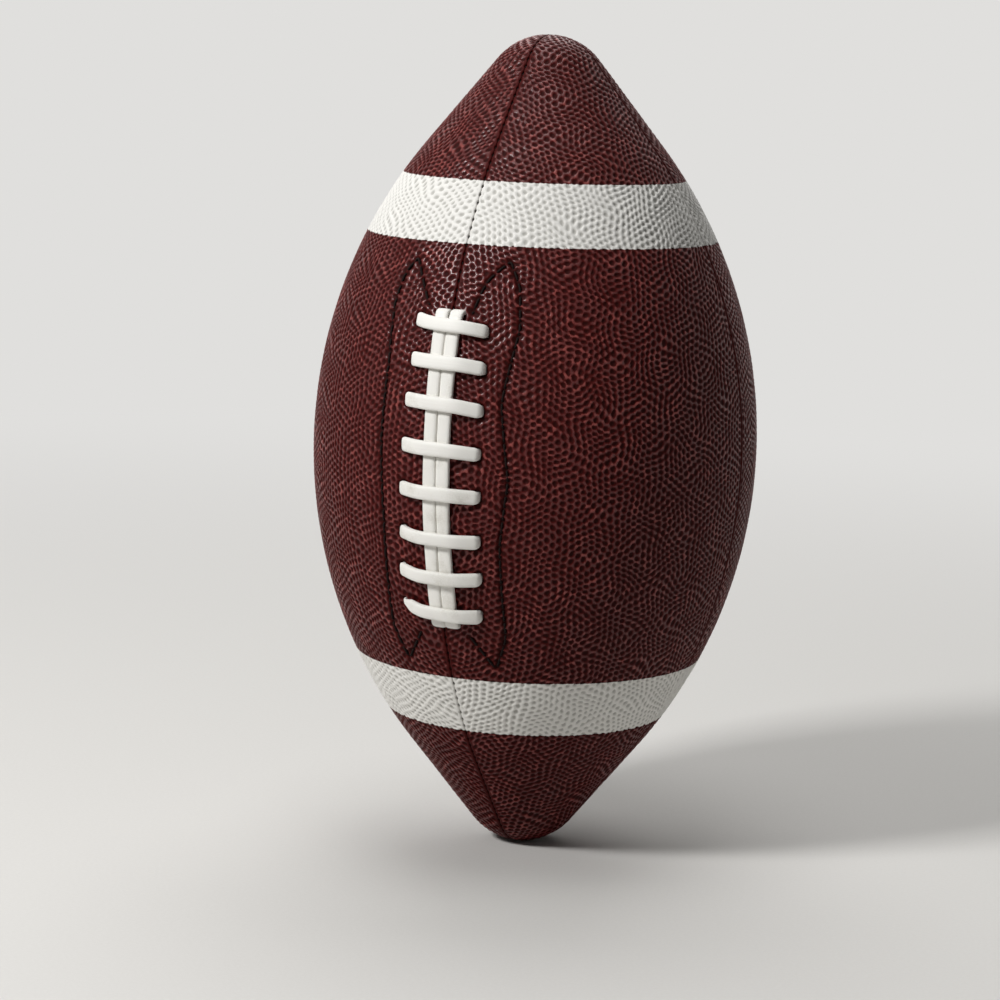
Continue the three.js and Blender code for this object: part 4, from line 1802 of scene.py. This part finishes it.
@dataclass
class Studio:
    """Camera, lamps and floor.

    Attributes:
        ball: The ball's outline.
        distance: From the camera to the ball's middle, in millimetres.
        azimuth: Of the camera, in degrees from the front towards +X.
        elevation: Of the camera above the waist, in degrees.
        roll: How far the picture leans to the right, in degrees.
        focal: In pixels of the picture.
        frame: Width of the picture in pixels.
        middle: Where the ball's middle is in the picture, in pixels.
        lamps: The soft boxes round the ball.
        floor_rings: Radii of the floor's mesh, in metres.
        floor_sides: Points round each of them.
        floor_fade: Distances in metres between which the floor turns into the sky's colour.
        floor_colour: Of the paper on the floor.
        floor_fleck: The paper's fine flecks.
        floor_roughness: Of the paper.
        sky_colour: Of the pale background.
        sky_light: Strength of the sky's light on things.
    """

    ball: BallShape
    distance: float = 1072.6
    azimuth: float = 24.44
    elevation: float = 7.81
    roll: float = 2.09
    focal: float = 3198.0
    frame: float = 1000.0
    middle: tuple[float, float] = (535.2, 443.0)
    lamps: tuple[SoftBox, ...] = (
        SoftBox("key", -28.0, 36.0, 1.5, 0.28, 18.8),
        SoftBox("top", 0.0, 82.0, 1.4, 0.6, 4.5),
        SoftBox("fill", 85.0, 15.0, 1.8, 0.6, 0.3),
        SoftBox("back", 204.0, 54.0, 1.6, 1.4, 16.0),
    )
    floor_rings: tuple[float, ...] = (0.0, 0.3, 1.0, 4.0, 30.0)
    floor_sides: int = 96
    floor_fade: tuple[float, float] = (0.15, 1.1)
    floor_colour: str = "#cdcbc7"
    floor_fleck: Mottle = Mottle(1.2)
    floor_roughness: float = 0.9
    sky_colour: str = "#e0dfdd"
    sky_light: float = 0.05

    @property
    def target(self) -> Vector:
        """The ball's middle."""
        return Vector((0.0, 0.0, self.ball.length / 2 * MM))

    def build(self) -> None:
        """Sets up everything round the ball."""
        self._camera()
        for lamp in self.lamps:
            self._lamp(lamp)
        self._floor()
        self._sky()
        bpy.context.scene.view_settings.view_transform = "Standard"

    def _stand(self, thing: bpy.types.Object, back: Vector, distance: float, roll: float = 0.0) -> None:
        """Stands a camera or a lamp off the ball's middle and faces it there.

        Args:
            thing: The camera or lamp.
            back: Direction from the ball to it.
            distance: From the ball's middle, in metres.
            roll: How far it leans over, in degrees.
        """
        lean = Quaternion((0.0, 0.0, 1.0), np.radians(roll))
        thing.location = self.target + back * distance
        thing.rotation_mode = "QUATERNION"
        thing.rotation_quaternion = (-back).to_track_quat("-Z", "Y") @ lean
        bpy.context.scene.collection.objects.link(thing)

    def _camera(self) -> None:
        """Puts the camera where the photograph was taken from."""
        data = bpy.data.cameras.new("camera")
        data.lens = data.sensor_width * self.focal / self.frame
        data.shift_x = 0.5 - self.middle[0] / self.frame
        data.shift_y = self.middle[1] / self.frame - 0.5
        camera = bpy.data.objects.new("camera", data)
        self._stand(camera, stand_off(self.azimuth, self.elevation), self.distance * MM, self.roll)
        bpy.context.scene.camera = camera

    def _lamp(self, box: SoftBox) -> None:
        """Hangs one lamp."""
        data = bpy.data.lights.new(box.name, "AREA")
        data.size = box.size
        data.energy = box.power
        lamp = bpy.data.objects.new(box.name, data)
        self._stand(lamp, stand_off(box.azimuth, box.elevation), box.distance)

    def _floor(self) -> None:
        """Lays a round pale floor that turns into the sky's colour away from the ball."""
        rim = np.append(circle(self.floor_sides), np.zeros((self.floor_sides, 1)), 1)
        parts = MeshParts()
        numbers = parts.add_points(np.array(self.floor_rings)[:, None, None] * rim)
        parts.add_faces(numbers.ravel()[grid_faces(*numbers.shape, ring=True)][:, ::-1])
        floor = parts.build("floor", weld=True)
        sheet = NodeSheet("floor_paper")
        place = sheet.place()
        fleck = sheet.noise(place, self.floor_fleck)
        base = sheet.mix(paint(self.floor_colour), paint(self.sky_colour), fleck * 0.3)
        from_ball = sheet.node("ShaderNodeVectorMath", {"operation": "LENGTH"}, {0: place}, "Value")
        away = sheet.ease(from_ball, *self.floor_fade)
        glow = {"Color": paint(self.sky_colour), "Strength": sheet.seen()}
        sky = sheet.node("ShaderNodeEmission", None, glow)
        dress(floor, sheet.finish(base, self.floor_roughness, over=(away, sky)))

    def _sky(self) -> None:
        """Lights the scene faintly from all round, and shows a pale sky where it is seen."""
        world = bpy.data.worlds.new("studio")
        bpy.context.scene.world = world
        sheet = NodeSheet(world)
        strength = self.sky_light + sheet.seen() * (1.0 - self.sky_light)
        glow = {"Color": paint(self.sky_colour), "Strength": strength}
        shader = sheet.node("ShaderNodeBackground", None, glow)
        sheet.node("ShaderNodeOutputWorld", None, {"Surface": shader}, None)


# Assembly


def dress(piece: bpy.types.Object, material: bpy.types.Material) -> None:
    """Gives a piece one material."""
    piece.data.materials.clear()
    piece.data.materials.append(material)


def fit(piece: bpy.types.Object, node: str, material: bpy.types.Material) -> None:
    """Puts a new piece in the place of a solid.

    Args:
        piece: The piece.
        node: The solid that it stands for.
        material: Its finish.
    """
    dress(piece, material)
    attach(piece, BODY)
    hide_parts(node)
    LOG.info("%s stands for %s with %d faces", piece.name, node, len(piece.data.polygons))


def build_cover(ball: BallShape, seam: Seam, lacing: Lacing, valve: Valve) -> None:
    """Makes the four panels."""
    grain, leather = Grain(), PebbledCover().material()
    panels = [
        ("panel_lace_left", -135.0, lacing.relief(Side.LEFT)),
        ("panel_lace_right", -45.0, lacing.relief(Side.RIGHT)),
        ("panel_back_right", 45.0, valve.relief()),
        ("panel_back_left", 135.0, Relief(level)),
    ]
    for seed, (node, middle, relief) in enumerate(panels, start=1):
        panel = CoverPanel(node, middle, ball, seam, grain, relief, seed)
        fit(panel.build(), node, leather)


def build_threads(ball: BallShape, seam: Seam, lacing: Lacing) -> None:
    """Makes the stitching of the seams and of the facings."""
    thread = WaxedThread().material()
    end = ball.half_arc - seam.stop
    laced = float(ball.arc_at(lacing.facing_end))
    rows = [
        ("seam_thread_left", 180.0, -end, end),
        ("seam_thread_right", 0.0, -end, end),
        ("seam_thread_back", 90.0, -end, end),
        ("seam_thread_front_upper", FRONT, laced, end),
        ("seam_thread_front_lower", FRONT, -end, -laced),
    ]
    for node, direction, low, high in rows:
        fit(SeamThread(node, direction, low, high, ball, seam).build(), node, thread)
    for side in Side:
        fit(lacing.facing(side).build(), f"facing_thread_{side.name.lower()}", thread)


def dress_inside(nodes: dict[str, bpy.types.Object]) -> None:
    """Finishes the solids that stay inside the cover."""
    lining = WovenLining().material()
    facing = BackingLeather("facing_leather", "#5a3a30", "#2c1a15").material()
    tongue = BackingLeather("tongue_felt", "#5d564d", "#332e28", crease_size=0.8).material()
    bladder = MouldedRubber("bladder_rubber", dust=Mottle(18.0, 4.0, 0.6)).material()
    boot = MouldedRubber("valve_rubber").material()
    sides = ("left", "right")
    finishes = {f"lining_{where}_{side}": lining for where in ("lace", "back") for side in sides}
    finishes |= {f"lace_facing_{side}": facing for side in sides}
    finishes |= {"lace_tongue": tongue, "bladder": bladder, "valve_boot": boot}
    for node, material in finishes.items():
        dress(nodes[node], material)
        LOG.info("%s keeps its solid", node)


def main() -> None:
    """Builds the football round its solids."""
    logging.basicConfig(level=logging.INFO, format="%(message)s")
    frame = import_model()
    ball, seam = BallShape(), Seam()
    lacing, valve = Lacing(ball), Valve(ball)
    Studio(ball).build()
    build_cover(ball, seam, lacing, valve)
    build_threads(ball, seam, lacing)
    fit(lacing.lace(), "lace", LaceVinyl().material())
    fit(valve.build(), "valve_plug", MouldedRubber("plug_rubber").material())
    dress_inside(frame["nodes"])
    bpy.context.view_layer.update()


if __name__ == "__main__":
    main()
